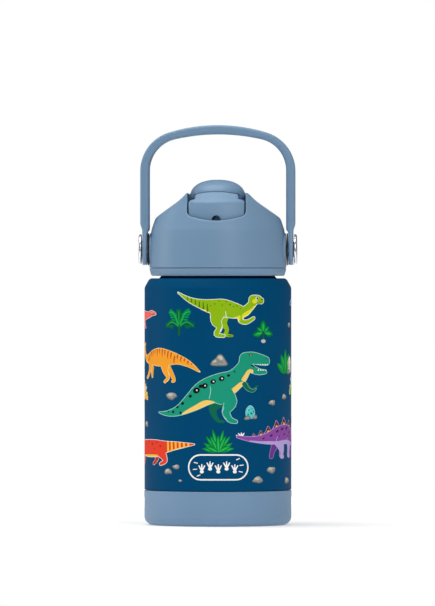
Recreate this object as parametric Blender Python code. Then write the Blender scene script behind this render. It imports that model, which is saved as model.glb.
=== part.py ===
"""Kids water bottle: a vacuum flask with a boot, a screw lid with a flip-up spout, and a bail handle.

The bottle stands on the floor at the origin, +Z is up, its front faces -Y. Sizes below are in
millimetres; the meshes are in metres.
"""

import math

import bmesh
import bpy
from mathutils import Matrix

MM = 0.001
GAP = 0.3  # clearance between pieces that touch
WIDE = 40  # sides of the large round pieces
NARROW = 20  # sides of the small round pieces

# Flask
BODY_R = 36.5
SHELL_WALL = 0.6
BOOT_TOP = 17.3
BOOT_R = 36.6
BOOT_WALL = 1.5
BOOT_FLOOR = 2.0
SHOULDER_Z = 117.8  # top of the straight side
SHOULDER_TOP = 122.6
NECK_R = 28.4
NECK_TOP = 129.5
LINER_R = 33.6
LINER_WALL = 0.5
LINER_FLOOR = 7.2
LINER_NECK_R = 27.4
RIM_TOP = 130.3

# Screw thread
PITCH = 3.0
THREAD_ROOT = 1.7  # axial width where the ridge leaves its wall
THREAD_CREST = 0.7
NECK_CREST_R = 29.4
LID_CREST_R = 28.9
THREAD_Z = 125.2  # height of the neck thread's middle at its start

# Lid
LID_BOTTOM = 123.8
LID_R = 34.1
PARTING_Z = 127.5  # between the threaded liner and the cover
LID_WALL = 2.05
SKIRT_R = 31.7
SKIRT_BORE = 29.9
PLATE_LOW = 132.1
PLATE_TOP = 133.5
HUB_R = 7.0
HUB_BORE = 5.2
CHANNEL_HALF = 15.0
CHANNEL_FLOOR = 145.5
CHANNEL_WALL = 2.0
POCKET_FLOOR = 137.5
POCKET_BACK = 21.2
POCKET_FRONT = 8.8
RIDGE_Z = 165.6

# Spout
SPOUT_Z = 151.5  # hinge axis, along X through the lid's middle
SPOUT_REACH = 29.5  # from the hinge axis to the drinking end
SPOUT_HALF = 13.9
TONGUE_HALF = 10.9
BARREL_R = 5.5
BORE_R = 2.4
HOOD_Z = 162.6
HOOD_HALF = 13.8
HOOD_RISE = 9.0
HOOD_FRONT = 18.5
HOOD_BACK = 15.5
HOOD_MIDDLE_Y = -3.0
HOOD_WALL = 1.8
PIN_R = 1.5

# Handle and its pivots
HANDLE_Z = 137.0
HANDLE_TOP = 198.7
HANDLE_HALF = 38.5
HANDLE_THICK = 4.49
CROWN_R = 83
CORNER_R = 20
INNER_CROWN_R = 96
INNER_CORNER_R = 16
ARM_FACE = 37.5  # outer face of the arms beside the pivots
PADDLE_INNER = 35.1
PADDLE_R = 7.8
BAND_HALF = 6.0
CAP_FACE = 39.35
CAP_R = 7.6
SHOULDER_R = 3.7
BOSS_FACE = 33.95

# Straw
STRAW_R = 3.9
STRAW_BORE = 3.3
STRAW_TOP = 130.0
STRAW_LOW = 10.5


def arc(middle, radius, start, end, steps):
    """Points along a circle, from the start angle to the end angle in degrees."""
    points = []
    for step in range(steps + 1):
        angle = math.radians(start + (end - start) * step / steps)
        points.append((middle[0] + radius * math.cos(angle), middle[1] + radius * math.sin(angle)))
    return points


def to_object(name, bm):
    """Turns a bmesh in millimetres into a smooth-shaded object in metres."""
    bmesh.ops.remove_doubles(bm, verts=bm.verts, dist=1e-4)
    bmesh.ops.recalc_face_normals(bm, faces=bm.faces)
    bmesh.ops.scale(bm, vec=(MM, MM, MM), verts=bm.verts)
    mesh = bpy.data.meshes.new(name)
    bm.to_mesh(mesh)
    bm.free()
    mesh.shade_smooth()
    mesh.set_sharp_from_angle(angle=math.radians(35))
    obj = bpy.data.objects.new(name, mesh)
    bpy.context.scene.collection.objects.link(obj)
    return obj


def turned(name, profile, segments=WIDE, along_x=0, at=(0, 0, 0)):
    """A turned solid. The profile lists (radius, height); one that starts and ends on the axis is
    solid through the middle, any other one is a ring. along_x of 1 or -1 lays the height along X."""
    bm = bmesh.new()
    points = [bm.verts.new((radius, 0, height)) for radius, height in profile]
    ends = zip(points, points[1:] + points[:1])
    on_axis = profile[0][0] == 0 and profile[-1][0] == 0
    edges = [bm.edges.new(pair) for pair in list(ends)[: len(points) - on_axis]]
    bmesh.ops.spin(
        bm,
        geom=points + edges,
        cent=(0, 0, 0),
        axis=(0, 0, 1),
        angle=math.tau,
        steps=segments,
        use_merge=True,
    )
    if along_x:
        bmesh.ops.rotate(bm, verts=bm.verts, matrix=Matrix.Rotation(along_x * math.pi / 2, 3, "Y"))
    bmesh.ops.translate(bm, verts=bm.verts, vec=at)
    return to_object(name, bm)


def extruded(name, outline, along, low, high):
    """A prism. Along Y the outline is (x, z), along X it is (y, z)."""
    bm = bmesh.new()
    place = {"X": lambda u, v: (low, u, v), "Y": lambda u, v: (u, low, v)}[along]
    face = bm.faces.new([bm.verts.new(place(u, v)) for u, v in outline])
    grown = bmesh.ops.extrude_face_region(bm, geom=[face])["geom"]
    moved = [item for item in grown if isinstance(item, bmesh.types.BMVert)]
    length = high - low
    bmesh.ops.translate(bm, verts=moved, vec=(length, 0, 0) if along == "X" else (0, length, 0))
    return to_object(name, bm)


def box(name, x, y, z):
    """A block between the (low, high) pairs."""
    return extruded(name, [(x[0], z[0]), (x[1], z[0]), (x[1], z[1]), (x[0], z[1])], "Y", y[0], y[1])


def ball(name, radius, middle, stretch=(1, 1, 1), segments=WIDE):
    """A ball, stretched along the axes, with its middle at the given point."""
    bm = bmesh.new()
    bmesh.ops.create_uvsphere(bm, u_segments=segments, v_segments=segments // 2, radius=radius)
    bmesh.ops.scale(bm, vec=stretch, verts=bm.verts)
    bmesh.ops.translate(bm, verts=bm.verts, vec=middle)
    return to_object(name, bm)


def thread_ridge(name, root_r, crest_r, middle_z, first_turn, last_turn):
    """A helical ridge, right-handed, that fades into its wall at both ends."""
    bm = bmesh.new()
    turns = last_turn - first_turn
    steps = round(turns * 28)
    rings = []
    for step in range(steps + 1):
        done = turns * step / steps
        fade = max(0.1, min(1, done * 12, (turns - done) * 12))
        crest = root_r + (crest_r - root_r) * fade
        z = middle_z + PITCH * (first_turn + done)
        angle = math.tau * (first_turn + done)
        section = [(root_r, -THREAD_ROOT), (crest, -THREAD_CREST)]
        section += [(crest, THREAD_CREST), (root_r, THREAD_ROOT)]
        ring = []
        for radius, width in section:
            ring.append(bm.verts.new((radius * math.cos(angle), radius * math.sin(angle), z + width / 2)))
        rings.append(ring)
    for ring, following in zip(rings, rings[1:]):
        for corner in range(4):
            after = (corner + 1) % 4
            bm.faces.new((ring[corner], ring[after], following[after], following[corner]))
    bm.faces.new(rings[0])
    bm.faces.new(rings[-1])
    return to_object(name, bm)


def shape_with(target, tool, operation):
    """Cuts, joins or intersects the target with a helper, which is then hidden."""
    modifier = target.modifiers.new(tool.name, "BOOLEAN")
    modifier.operation = operation
    modifier.object = tool
    tool.hide_render = True
    tool.display_type = "WIRE"


def cut(target, *tools):
    for tool in tools:
        shape_with(target, tool, "DIFFERENCE")


def join(target, *tools):
    for tool in tools:
        shape_with(target, tool, "UNION")


def keep_inside(target, *tools):
    for tool in tools:
        shape_with(target, tool, "INTERSECT")


def finish(name, color, roughness, metallic=0.0):
    """A plain material."""
    material = bpy.data.materials.new(name)
    material.use_nodes = True
    shader = material.node_tree.nodes["Principled BSDF"]
    shader.inputs["Base Color"].default_value = (*color, 1)
    shader.inputs["Roughness"].default_value = roughness
    shader.inputs["Metallic"].default_value = metallic
    return material


def frame_empty(name, height):
    """An empty on the lid's middle line, at the height of a joint."""
    empty = bpy.data.objects.new(name, None)
    empty.location = (0, 0, height * MM)
    bpy.context.scene.collection.objects.link(empty)
    return empty


def fit_to(parent, material, *pieces):
    """Gives pieces their material, and hangs them on a frame without moving them."""
    for piece in pieces:
        piece.data.materials.append(material)
        piece.parent = parent
        piece.matrix_parent_inverse = Matrix.Translation(-parent.location)


def outer_shell():
    """Steel outer wall: turned-in base under the boot, straight side, shoulder and threaded neck."""
    lower_r = BOOT_R - BOOT_WALL - GAP
    step_z = BOOT_TOP + GAP
    outside = [(30.0, BOOT_FLOOR + GAP)]
    outside += arc((lower_r - 3.2, BOOT_FLOOR + GAP + 3.2), 3.2, -90, 0, 3)
    outside += [(lower_r, step_z), (BODY_R - 0.3, step_z), (BODY_R, step_z + 0.3)]
    outside += [(BODY_R, SHOULDER_Z), (36.1, 118.8), (34.4, 121.8), (33.3, SHOULDER_TOP)]
    outside += [(29.2, SHOULDER_TOP), (NECK_R, SHOULDER_TOP + 1), (NECK_R, NECK_TOP)]
    inside = [(NECK_R - SHELL_WALL, NECK_TOP), (NECK_R - SHELL_WALL, SHOULDER_TOP + 0.7)]
    inside += [(28.8, SHOULDER_TOP - SHELL_WALL), (33.1, SHOULDER_TOP - SHELL_WALL), (33.9, 121.4)]
    inside += [(35.5, 118.5), (BODY_R - SHELL_WALL, SHOULDER_Z - 0.2)]
    inside += [(BODY_R - SHELL_WALL, step_z + SHELL_WALL), (lower_r - SHELL_WALL, step_z + SHELL_WALL)]
    inside += arc((lower_r - 3.2, BOOT_FLOOR + GAP + 3.2), 3.2 - SHELL_WALL, 0, -90, 3)
    inside += [(30.0, BOOT_FLOOR + GAP + SHELL_WALL)]
    shell = turned("outer_shell", outside + inside)
    join(shell, thread_ridge("neck_thread", NECK_R - 0.3, NECK_CREST_R, THREAD_Z, 0, 1.1))
    return shell


def inner_flask():
    """Steel liner with a rounded floor, a sloping shoulder and a rim flange that sits on the outer neck."""
    inner_r = LINER_R - LINER_WALL
    neck_bore = LINER_NECK_R - LINER_WALL
    corner = (LINER_R - 6, LINER_FLOOR + 6)
    outside = [(0, LINER_FLOOR)] + arc(corner, 6, -90, 0, 4)
    outside += [(LINER_R, 113.5), (33.0, 116.0), (31.5, 118.2), (29.0, 120.0), (LINER_NECK_R, 121.8)]
    outside += [(LINER_NECK_R, NECK_TOP + GAP), (NECK_R, NECK_TOP + GAP), (NECK_R, RIM_TOP)]
    inside = [(neck_bore, RIM_TOP), (neck_bore, 121.6), (28.6, 119.6), (31.1, 117.8), (32.5, 115.8)]
    inside += [(inner_r, 113.4)] + arc(corner, 6 - LINER_WALL, 0, -90, 4) + [(0, LINER_FLOOR + LINER_WALL)]
    return turned("inner_flask", outside + inside)


def vacuum_parts():
    """Base plate with its dimple and pump-out hole, the bead that seals the hole, and the getter."""
    low = BOOT_FLOOR + GAP
    plate_profile = [(0.8, low + 1.5), (6.0, low + 1.5), (7.0, low), (29.7, low), (29.7, low + SHELL_WALL)]
    plate_profile += [(7.4, low + SHELL_WALL), (6.4, low + 2.1), (0.8, low + 2.1)]
    plate = turned("base_plate", plate_profile)
    bead_profile = [(0, low + 0.3), (2.6, low + 0.4), (3.2, low + 1.2), (0, low + 1.2)]
    bead = turned("vacuum_seal_bead", bead_profile, NARROW)
    getter_low = low + 2.4
    getter_profile = [(0, getter_low), (5.0, getter_low), (5.0, getter_low + 1.4), (4.4, getter_low + 1.4)]
    getter_profile += [(4.2, getter_low + 0.9), (0, getter_low + 0.9)]
    return plate, bead, turned("getter_cup", getter_profile, NARROW)


def silicone_boot():
    """Soft boot, closed underneath, with a shallow ring groove in its foot."""
    inner_r = BOOT_R - BOOT_WALL
    profile = [(0, 0), (20, 0), (20.4, 0.6), (21.6, 0.6), (22, 0)]
    profile += arc((BOOT_R - 4.5, 4.5), 4.5, -90, 0, 6)
    profile += [(BOOT_R, BOOT_TOP - 0.3), (BOOT_R - 0.3, BOOT_TOP), (inner_r, BOOT_TOP)]
    profile += arc((inner_r - 3.5, BOOT_FLOOR + 3.5), 3.5, 0, -90, 3) + [(0, BOOT_FLOOR)]
    return turned("silicone_boot", profile)


def roof_half():
    """Half outline of the gable top, from the middle down to the side."""
    return [(0, RIDGE_Z), (14.3, RIDGE_Z - 0.2), (18.9, 161.3), (23.8, 157.5), (28.8, 154.1), (36.0, 149.2)]


def steep_wall(inset):
    """Half profile of the lid's side, from its lower edge to above the ridge."""
    wall = [(33.35, 146.6), (32.8, 148.6), (31.7, 151.6), (26.6, 165.5), (24.2, 172.0)]
    return [(r - inset, z) for r, z in wall]


def front_opening():
    """Outline of the opening that the drinking end fills: a sagging lower edge with round corners."""
    corner_r = 3.0
    flat = CHANNEL_HALF - corner_r
    lower = [(x, 151.1 + 1.8 * (x / flat) ** 2) for x in (0, 3, 6, 9)]
    half = lower + arc((flat, 152.9 + corner_r), corner_r, -90, 0, 5) + [(CHANNEL_HALF, 175)]
    return [(-x, z) for x, z in reversed(half[1:])] + half


def lid_side_cavity(side):
    """Hollow between the channel wall and the outer wall, on one side."""
    low = CHANNEL_FLOOR - CHANNEL_WALL - 0.7
    inner = CHANNEL_HALF + CHANNEL_WALL
    outline = [(inner, low), (31.5, low), (31.5, 150.0), (28.8, 151.7), (23.8, 155.1), (18.9, 158.9)]
    outline += [(inner, 160.4)]
    hollow = extruded(f"lid_side_hollow_{side:+d}", [(side * x, z) for x, z in outline], "Y", -30, 30)
    limit = [(0, low - 1), (31.5, low - 1)] + steep_wall(2.0) + [(0, 172.0)]
    lathe = turned(f"lid_hollow_limit_{side:+d}", limit)
    keep_inside(hollow, lathe)
    return hollow


def lid_cavity():
    """Hollow under the channel floor, which the back pocket hangs down into."""
    top = CHANNEL_FLOOR - 1.8
    profile = [(0, PARTING_Z - 1), (LID_R - LID_WALL, PARTING_Z - 1), (31.5, top), (0, top)]
    cavity = turned("lid_hollow", profile)
    half = CHANNEL_HALF + CHANNEL_WALL
    pocket = (POCKET_FRONT - 1.5, POCKET_BACK + CHANNEL_WALL)
    cut(cavity, box("pocket_walls", (-half, half), pocket, (POCKET_FLOOR - 1.8, top + 5)))
    return cavity


def add_pivot_boss(cover, side):
    """Round pad outside and block inside, which carry one pivot screw and its insert."""
    here = (0, 0, HANDLE_Z)
    pad_profile = [(0, 32.2), (8, 32.2), (8, BOSS_FACE), (0, BOSS_FACE)]
    pad = turned(f"pivot_pad_{side:+d}", pad_profile, WIDE, side, here)
    block_x = sorted((side * 26, side * 32.5))
    block = box(f"pivot_block_{side:+d}", block_x, (-4.5, 4.5), (PLATE_TOP + GAP, 141.2))
    join(cover, pad, block)


def drill_across(cover):
    """Stepped hole for both pivot screws and their inserts, and the hole for both spout pins."""
    half = [(2.5, 31.3), (1.8, 31.3), (1.8, 36), (0, 36)]
    profile = [(r, -x) for r, x in reversed(half)] + half
    cut(cover, turned("pivot_holes", profile, NARROW - 2, 1, (0, 0, HANDLE_Z)))
    pin_hole = [(0, -18), (PIN_R + GAP, -18), (PIN_R + GAP, 18), (0, 18)]
    cut(cover, turned("pin_holes", pin_hole, NARROW, 1, (0, 0, SPOUT_Z)))


def lid_cover():
    """Outer shell of the lid: a steep round wall under a gable roof, with the spout channel cut in."""
    low = PARTING_Z + GAP
    cover = turned("lid_cover", [(0, low), (LID_R, low)] + steep_wall(0) + [(0, 172.0)])
    roof = [(-36, 120)] + [(-x, z) for x, z in reversed(roof_half()[1:])] + roof_half() + [(36, 120)]
    keep_inside(cover, extruded("gable_roof", roof, "Y", -40, 40))
    cut(cover, lid_cavity(), lid_side_cavity(1), lid_side_cavity(-1))
    for side in (1, -1):
        add_pivot_boss(cover, side)
    wide = (-CHANNEL_HALF, CHANNEL_HALF)
    channel = box("channel", wide, (-40, POCKET_FRONT + 0.5), (CHANNEL_FLOOR, 175))
    keep_inside(channel, ball("channel_front", SPOUT_REACH + 0.4, (0, 0, SPOUT_Z)))
    cut(cover, channel)
    cut(cover, box("pocket", wide, (POCKET_FRONT, POCKET_BACK), (POCKET_FLOOR, 175)))
    cut(cover, extruded("front_cut", front_opening(), "Y", -40, -18))
    cut(cover, turned("seat_hole", [(0, 142), (4.5, 142), (4.5, 147), (0, 147)], NARROW))
    cut(cover, turned("vent_hole", [(0, 134), (1.2, 134), (1.2, 139), (0, 139)], 12, at=(8, 15, 0)))
    drill_across(cover)
    return cover


def lid_base():
    """Threaded liner of the lid: visible lower ring, skirt, closing plate and straw hub."""
    hub_top = CHANNEL_FLOOR - 1.8 - GAP
    outside = [(30.2, LID_BOTTOM), (32.8, LID_BOTTOM), (33.4, 124.8), (34.05, PARTING_Z)]
    outside += [(SKIRT_R, PARTING_Z), (SKIRT_R, PLATE_TOP), (HUB_R, PLATE_TOP), (HUB_R, hub_top)]
    inside = [(HUB_BORE, hub_top), (HUB_BORE, PLATE_LOW), (SKIRT_BORE, PLATE_LOW)]
    inside += [(SKIRT_BORE, LID_BOTTOM + 0.3)]
    base = turned("lid_base", outside + inside)
    join(base, thread_ridge("lid_thread", SKIRT_BORE + 0.3, LID_CREST_R, THREAD_Z + PITCH / 2, -0.4, 0.6))
    cut(base, turned("valve_hole", [(0, 131), (1.5, 131), (1.5, 135), (0, 135)], NARROW, at=(0, -16, 0)))
    return base


def lid_seals():
    """Rim gasket, the seat under the spout barrel, and the air valve."""
    gasket_r = LID_CREST_R - 0.4  # the lid's thread passes outside it
    ring = [(LINER_NECK_R - 0.5, RIM_TOP + GAP), (gasket_r, RIM_TOP + GAP), (gasket_r, PLATE_LOW - GAP)]
    gasket = turned("lid_seal_ring", ring + [(LINER_NECK_R - 0.5, PLATE_LOW - GAP)])
    seat_low = 137.3
    shelf = CHANNEL_FLOOR - 1.8 - GAP
    seat_profile = [(2.3, seat_low), (4.9, seat_low), (4.9, shelf), (4.2, shelf)]
    seat = turned("port_seal", seat_profile + [(4.2, 149.5), (2.3, 149.5)], NARROW)
    print_r = BARREL_R + GAP
    barrel = [(0, -9), (print_r, -9), (print_r, 9), (0, 9)]
    cut(seat, turned("barrel_print", barrel, WIDE, 1, (0, 0, SPOUT_Z)))
    cut(seat, box("seat_trim", (-6, 6), (-6, 6), (147.5, 152)))
    cut(seat, box("seat_back_trim", (-6, 6), (0, 6), (SPOUT_Z - print_r, 152)))
    valve_profile = [(0, 131.0), (4.0, 131.2), (4.0, 131.8), (1.2, 131.8), (1.2, PLATE_TOP + GAP)]
    valve_profile += [(2.0, PLATE_TOP + GAP), (1.2, 135.4), (0, 135.4)]
    return gasket, seat, turned("vent_valve", valve_profile, NARROW, at=(0, -16, 0))


def straw_parts():
    """Snap-in nipple below the hub, and the straw on it with a slanted lower end."""
    profile = [(2.2, 121), (2.6, 121), (3.0, 122), (3.0, 130.3), (8, 130.3), (8, PLATE_LOW - GAP)]
    profile += [(4.9, PLATE_LOW - GAP), (4.9, 136.9), (2.2, 136.9)]
    connector = turned("straw_connector", profile, NARROW)
    tube = [(STRAW_BORE, STRAW_LOW), (STRAW_R, STRAW_LOW), (STRAW_R, STRAW_TOP), (STRAW_BORE, STRAW_TOP)]
    straw = turned("straw", tube, NARROW)
    for vertex in straw.data.vertices:
        if vertex.co.z < (STRAW_LOW + 1) * MM:
            vertex.co.z += (STRAW_R * MM + vertex.co.x) * 0.5
    return connector, straw


def spout_side():
    """Side outline (y, z) of the spout: nose, sloping tongue, back, and the barrel round the hinge."""
    nose_low = SPOUT_Z - 3.5
    outline = [(-32, nose_low), (-32, 159.9), (-28.0, 160.6), (-20.3, 165.4), (1.0, 165.0), (4.5, 162.2)]
    angle = math.degrees(math.asin(3.5 / BARREL_R))
    return outline + arc((0, SPOUT_Z), BARREL_R, 0, -180 + angle, 12)


def spout_body():
    """Drinking spout: the nose is cut round by a ball about the hinge, so that it swings past the lip."""
    body = extruded("spout_body", spout_side(), "X", -SPOUT_HALF, SPOUT_HALF)
    keep_inside(body, ball("spout_end", SPOUT_REACH, (0, 0, SPOUT_Z)))
    for side in (1, -1):
        beside = [(TONGUE_HALF - 0.8, 170), (TONGUE_HALF, 161.9), (13.3, 161.0), (14.7, 159.8)]
        beside += [(20, 159.8), (20, 170)]
        outline = [(side * x, z) for x, z in beside]
        cut(body, extruded(f"tongue_side_{side:+d}", outline, "Y", -40, 12))
    cut(body, extruded("spout_bore", arc((0, SPOUT_Z), BORE_R, 0, 342, 19), "Y", -40, 12))
    for side in (1, -1):
        hole = [(0, 9.7), (PIN_R + GAP, 9.7), (PIN_R + GAP, 16), (0, 16)]
        cut(body, turned(f"barrel_hole_{side:+d}", hole, NARROW, side, (0, 0, SPOUT_Z)))
    return body


def half_dome(name, inset):
    """An egg-shaped dome, longer to the front than to the back."""
    middle = (0, HOOD_MIDDLE_Y, HOOD_Z)
    dome = ball(name, 1, (0, 0, 0), (HOOD_HALF - inset, 1, HOOD_RISE - inset), NARROW + 4)
    for vertex in dome.data.vertices:
        reach = HOOD_FRONT if vertex.co.y < 0 else HOOD_BACK
        vertex.co.y *= reach - inset
        vertex.co.y += middle[1] * MM
        vertex.co.z += middle[2] * MM
    return dome


def spout_hood():
    """Hollow thumb hood that straddles the tongue."""
    hood = half_dome("spout_hood", 0)
    cut(hood, half_dome("hood_hollow", HOOD_WALL))
    cut(hood, box("hood_open", (-20, 20), (-30, 30), (150, HOOD_Z + 0.1)))
    half = TONGUE_HALF + GAP
    tongue = [(-32, 150), (-32, 158.5), (-20.5, 165.75), (1.5, 165.75), (5.2, 162.9), (5.2, 150)]
    cut(hood, extruded("tongue_room", tongue, "X", -half, half))
    return hood


def handle_outline(half_width, top, crown_r, corner_r):
    """Half outline of an arch, from the middle of its crown to the straight arm."""
    crown_z = top - crown_r
    corner_x = half_width - corner_r
    reach = crown_r - corner_r
    corner_z = crown_z + math.sqrt(reach**2 - corner_x**2)
    tangent = math.degrees(math.asin(corner_x / reach))
    crown = arc((0, crown_z), crown_r, 90, 90 - tangent, 5)
    return crown + arc((corner_x, corner_z), corner_r, 90 - tangent, 0, 7)[1:]


def carry_handle():
    """Bail handle: an arched band whose arms thin out to round paddles at the pivots."""
    low = HANDLE_Z - PADDLE_R - 1
    inner_half = HANDLE_HALF - HANDLE_THICK
    outer = handle_outline(HANDLE_HALF, HANDLE_TOP, CROWN_R, CORNER_R)
    outer += [(HANDLE_HALF, 150.0), (ARM_FACE, 146.0), (ARM_FACE, low)]
    inner_top = HANDLE_TOP - HANDLE_THICK
    inner = handle_outline(inner_half, inner_top, INNER_CROWN_R, INNER_CORNER_R)
    inner += [(inner_half, 147.0), (PADDLE_INNER, 145.2), (PADDLE_INNER, low)]
    outline = [(-x, z) for x, z in reversed(outer[1:])] + outer
    outline += inner[::-1] + [(-x, z) for x, z in inner[1:]]
    handle = extruded("carry_handle", outline, "Y", -PADDLE_R - 1, PADDLE_R + 1)
    side = arc((0, HANDLE_Z), PADDLE_R, -180, 0, 14)
    side += [(7.4, 141.5), (BAND_HALF, 147.5), (BAND_HALF, 205)]
    side += [(-BAND_HALF, 205), (-BAND_HALF, 147.5), (-7.4, 141.5)]
    keep_inside(handle, extruded("handle_side", side, "X", -45, 45))
    hole_r = SHOULDER_R + GAP
    hole = [(0, -45), (hole_r, -45), (hole_r, 45), (0, 45)]
    cut(handle, turned("handle_hole", hole, NARROW, 1, (0, 0, HANDLE_Z)))
    return handle


def pivot_parts(word, side):
    """Shoulder screw with a broad cap, washer and threaded insert of one side."""
    here = (0, 0, HANDLE_Z)
    shank_r = 1.5
    cap_low = ARM_FACE + 0.5
    screw_profile = [(0, 27.5), (shank_r, 27.8), (shank_r, BOSS_FACE + GAP), (SHOULDER_R, BOSS_FACE + GAP)]
    screw_profile += [(SHOULDER_R, cap_low), (CAP_R, cap_low), (CAP_R, CAP_FACE - 0.6)]
    screw_profile += [(CAP_R - 0.8, CAP_FACE), (0, CAP_FACE)]
    screw = turned(f"pivot_screw_{word}", screw_profile, NARROW * 4 // 3, side, here)
    low = BOSS_FACE + GAP
    high = PADDLE_INNER - GAP
    washer_profile = [(SHOULDER_R + GAP, low), (8.0, low), (8.0, high), (SHOULDER_R + GAP, high)]
    washer = turned(f"pivot_washer_{word}", washer_profile, NARROW * 4 // 3, side, here)
    insert_profile = [(shank_r + GAP, 26.5), (2.2, 26.5), (2.2, 31.0), (shank_r + GAP, 31.0)]
    insert = turned(f"pivot_insert_{word}", insert_profile, NARROW, side, here)
    return screw, washer, insert


def spout_pin(word, side):
    """Steel hinge pin between the spout barrel and one channel wall."""
    profile = [(0, 10.0), (PIN_R - 0.3, 10.0), (PIN_R, 10.3), (PIN_R, 16.5), (PIN_R - 0.3, 16.8), (0, 16.8)]
    return turned(f"spout_pin_{word}", profile, NARROW, side, (0, 0, SPOUT_Z))


def build_flask(frame, steel, rubber):
    coated = finish("navy_coat", (0.003, 0.063, 0.162), 0.45)
    fit_to(frame, coated, outer_shell())
    fit_to(frame, steel, inner_flask(), *vacuum_parts())
    fit_to(frame, rubber, silicone_boot())


def build_lid(lid, spout, handle, steel):
    plastic = finish("blue_plastic", (0.18, 0.29, 0.43), 0.42)
    silicone = finish("clear_silicone", (0.75, 0.77, 0.78), 0.5)
    black = finish("black_rubber", (0.012, 0.012, 0.013), 0.6)
    brass = finish("brass", (0.7, 0.5, 0.2), 0.35, 1.0)
    fit_to(lid, plastic, lid_cover(), lid_base())
    fit_to(lid, silicone, *lid_seals())
    fit_to(lid, silicone, *straw_parts())
    fit_to(spout, plastic, spout_body(), spout_hood())
    fit_to(handle, plastic, carry_handle())
    for word, side in (("left", -1), ("right", 1)):
        screw, washer, insert = pivot_parts(word, side)
        fit_to(lid, steel, screw, spout_pin(word, side))
        fit_to(lid, black, washer)
        fit_to(lid, brass, insert)


def main():
    for obj in list(bpy.data.objects):
        bpy.data.objects.remove(obj, do_unlink=True)
    steel = finish("bare_steel", (0.62, 0.62, 0.63), 0.25, 1.0)
    rubber = finish("blue_silicone", (0.19, 0.3, 0.44), 0.6)
    build_flask(frame_empty("flask_frame", 0), steel, rubber)
    lid = frame_empty("lid_frame", PARTING_Z)
    build_lid(lid, frame_empty("spout_hinge", SPOUT_Z), frame_empty("handle_hinge", HANDLE_Z), steel)


main()
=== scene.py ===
"""Looks of the kids water bottle: a printed vacuum flask with a boot, screw lid, flip-up spout and handle.

Lengths are in millimetres and become metres in the meshes. +Z is up and the front faces -Y.
"""

import functools
import math

import bmesh
import bpy
import numpy as np
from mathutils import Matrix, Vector, geometry


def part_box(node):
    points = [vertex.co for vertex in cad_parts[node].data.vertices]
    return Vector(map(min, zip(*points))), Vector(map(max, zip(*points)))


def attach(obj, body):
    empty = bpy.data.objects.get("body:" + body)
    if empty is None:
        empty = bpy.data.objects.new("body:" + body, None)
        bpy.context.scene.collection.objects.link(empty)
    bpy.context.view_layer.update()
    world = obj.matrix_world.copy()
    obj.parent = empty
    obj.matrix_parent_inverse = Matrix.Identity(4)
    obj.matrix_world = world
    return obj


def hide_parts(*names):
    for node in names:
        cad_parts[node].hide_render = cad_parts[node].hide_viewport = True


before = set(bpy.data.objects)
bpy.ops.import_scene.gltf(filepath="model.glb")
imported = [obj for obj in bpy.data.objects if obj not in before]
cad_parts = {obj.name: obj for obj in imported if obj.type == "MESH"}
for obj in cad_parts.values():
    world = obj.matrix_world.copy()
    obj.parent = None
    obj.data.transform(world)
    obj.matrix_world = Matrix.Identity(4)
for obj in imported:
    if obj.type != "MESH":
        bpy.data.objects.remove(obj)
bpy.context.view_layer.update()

MM = 0.001


def span(node):
    """Lowest and highest corner of a CAD node, in millimetres."""
    low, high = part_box(node)
    return low / MM, high / MM


# Driving sizes, from the frame
BODY_R = span("outer_shell")[1].x
SHELL_LOW = span("outer_shell")[0].z
NECK_TOP = span("outer_shell")[1].z
LINER_LOW, RIM_TOP = span("inner_flask")[0].z, span("inner_flask")[1].z
BOOT_R, BOOT_TOP = span("silicone_boot")[1].x, span("silicone_boot")[1].z
COVER_LOW, RIDGE_Z = span("lid_cover")[0].z, span("lid_cover")[1].z
LID_R = span("lid_cover")[1].x
BASE_LOW, HUB_TOP = span("lid_base")[0].z, span("lid_base")[1].z
HANDLE_HALF, HANDLE_TOP = span("carry_handle")[1].x, span("carry_handle")[1].z
PADDLE_R = span("carry_handle")[1].y
HANDLE_Z = span("carry_handle")[0].z + PADDLE_R
CAP_FACE = span("pivot_screw_right")[1].x
CAP_R = span("pivot_screw_right")[1].y
SPOUT_HALF = span("spout_body")[1].x
SPOUT_Z = (span("spout_pin_right")[0].z + span("spout_pin_right")[1].z) / 2
HOOD_HALF, HOOD_TOP = span("spout_hood")[1].x, span("spout_hood")[1].z

GAP = 0.3  # clearance between pieces that touch
PITCH = 3.0  # rise of the thread in one turn
THREAD_Z = 125.2  # height of the neck thread's middle at its start
CHANNEL_HALF = 14.45  # half width of the spout's channel
POCKET_HALF = 15.0  # half width of the pocket behind it
CHANNEL_FLOOR = 145.5
PLATE_LOW, PLATE_TOP = 132.1, 133.5  # closing plate of the lid's liner
SPOUT_REACH = 29.5  # from the spout's hinge to its nose
BARREL_R = 5.5  # hinge barrel of the spout
TONGUE_HALF = 10.9  # half width of the spout's raised tongue
TONGUE_CROWN = 1.4  # how much lower the tongue's top is at its sides
PIN_R = 1.8
BOSS_FACE = LID_R - 0.15  # outer face of the handle bosses
PRINT_TURN = 1.3  # degrees from the front of the bottle to the front of the print


def new_object(name, data):
    """An object in the scene."""
    obj = bpy.data.objects.new(name, data)
    bpy.context.scene.collection.objects.link(obj)
    return obj


# ---------------------------------------------------------------- camera, lights and floor

def stand_camera():
    """Long lens, level, a little to the right of straight ahead."""
    distance, height, turn = 3.93, 0.124, math.radians(1.7)
    view_height = 0.3015
    camera = bpy.data.cameras.new("camera")
    camera.lens = camera.sensor_width * distance / view_height
    camera.shift_y = (0.1103 - height) / view_height
    camera.shift_x = -0.0007
    obj = new_object("camera", camera)
    obj.location = (distance * math.sin(turn), -distance * math.cos(turn), height)
    obj.rotation_euler = (math.pi / 2, 0, turn)
    bpy.context.scene.camera = obj


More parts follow.
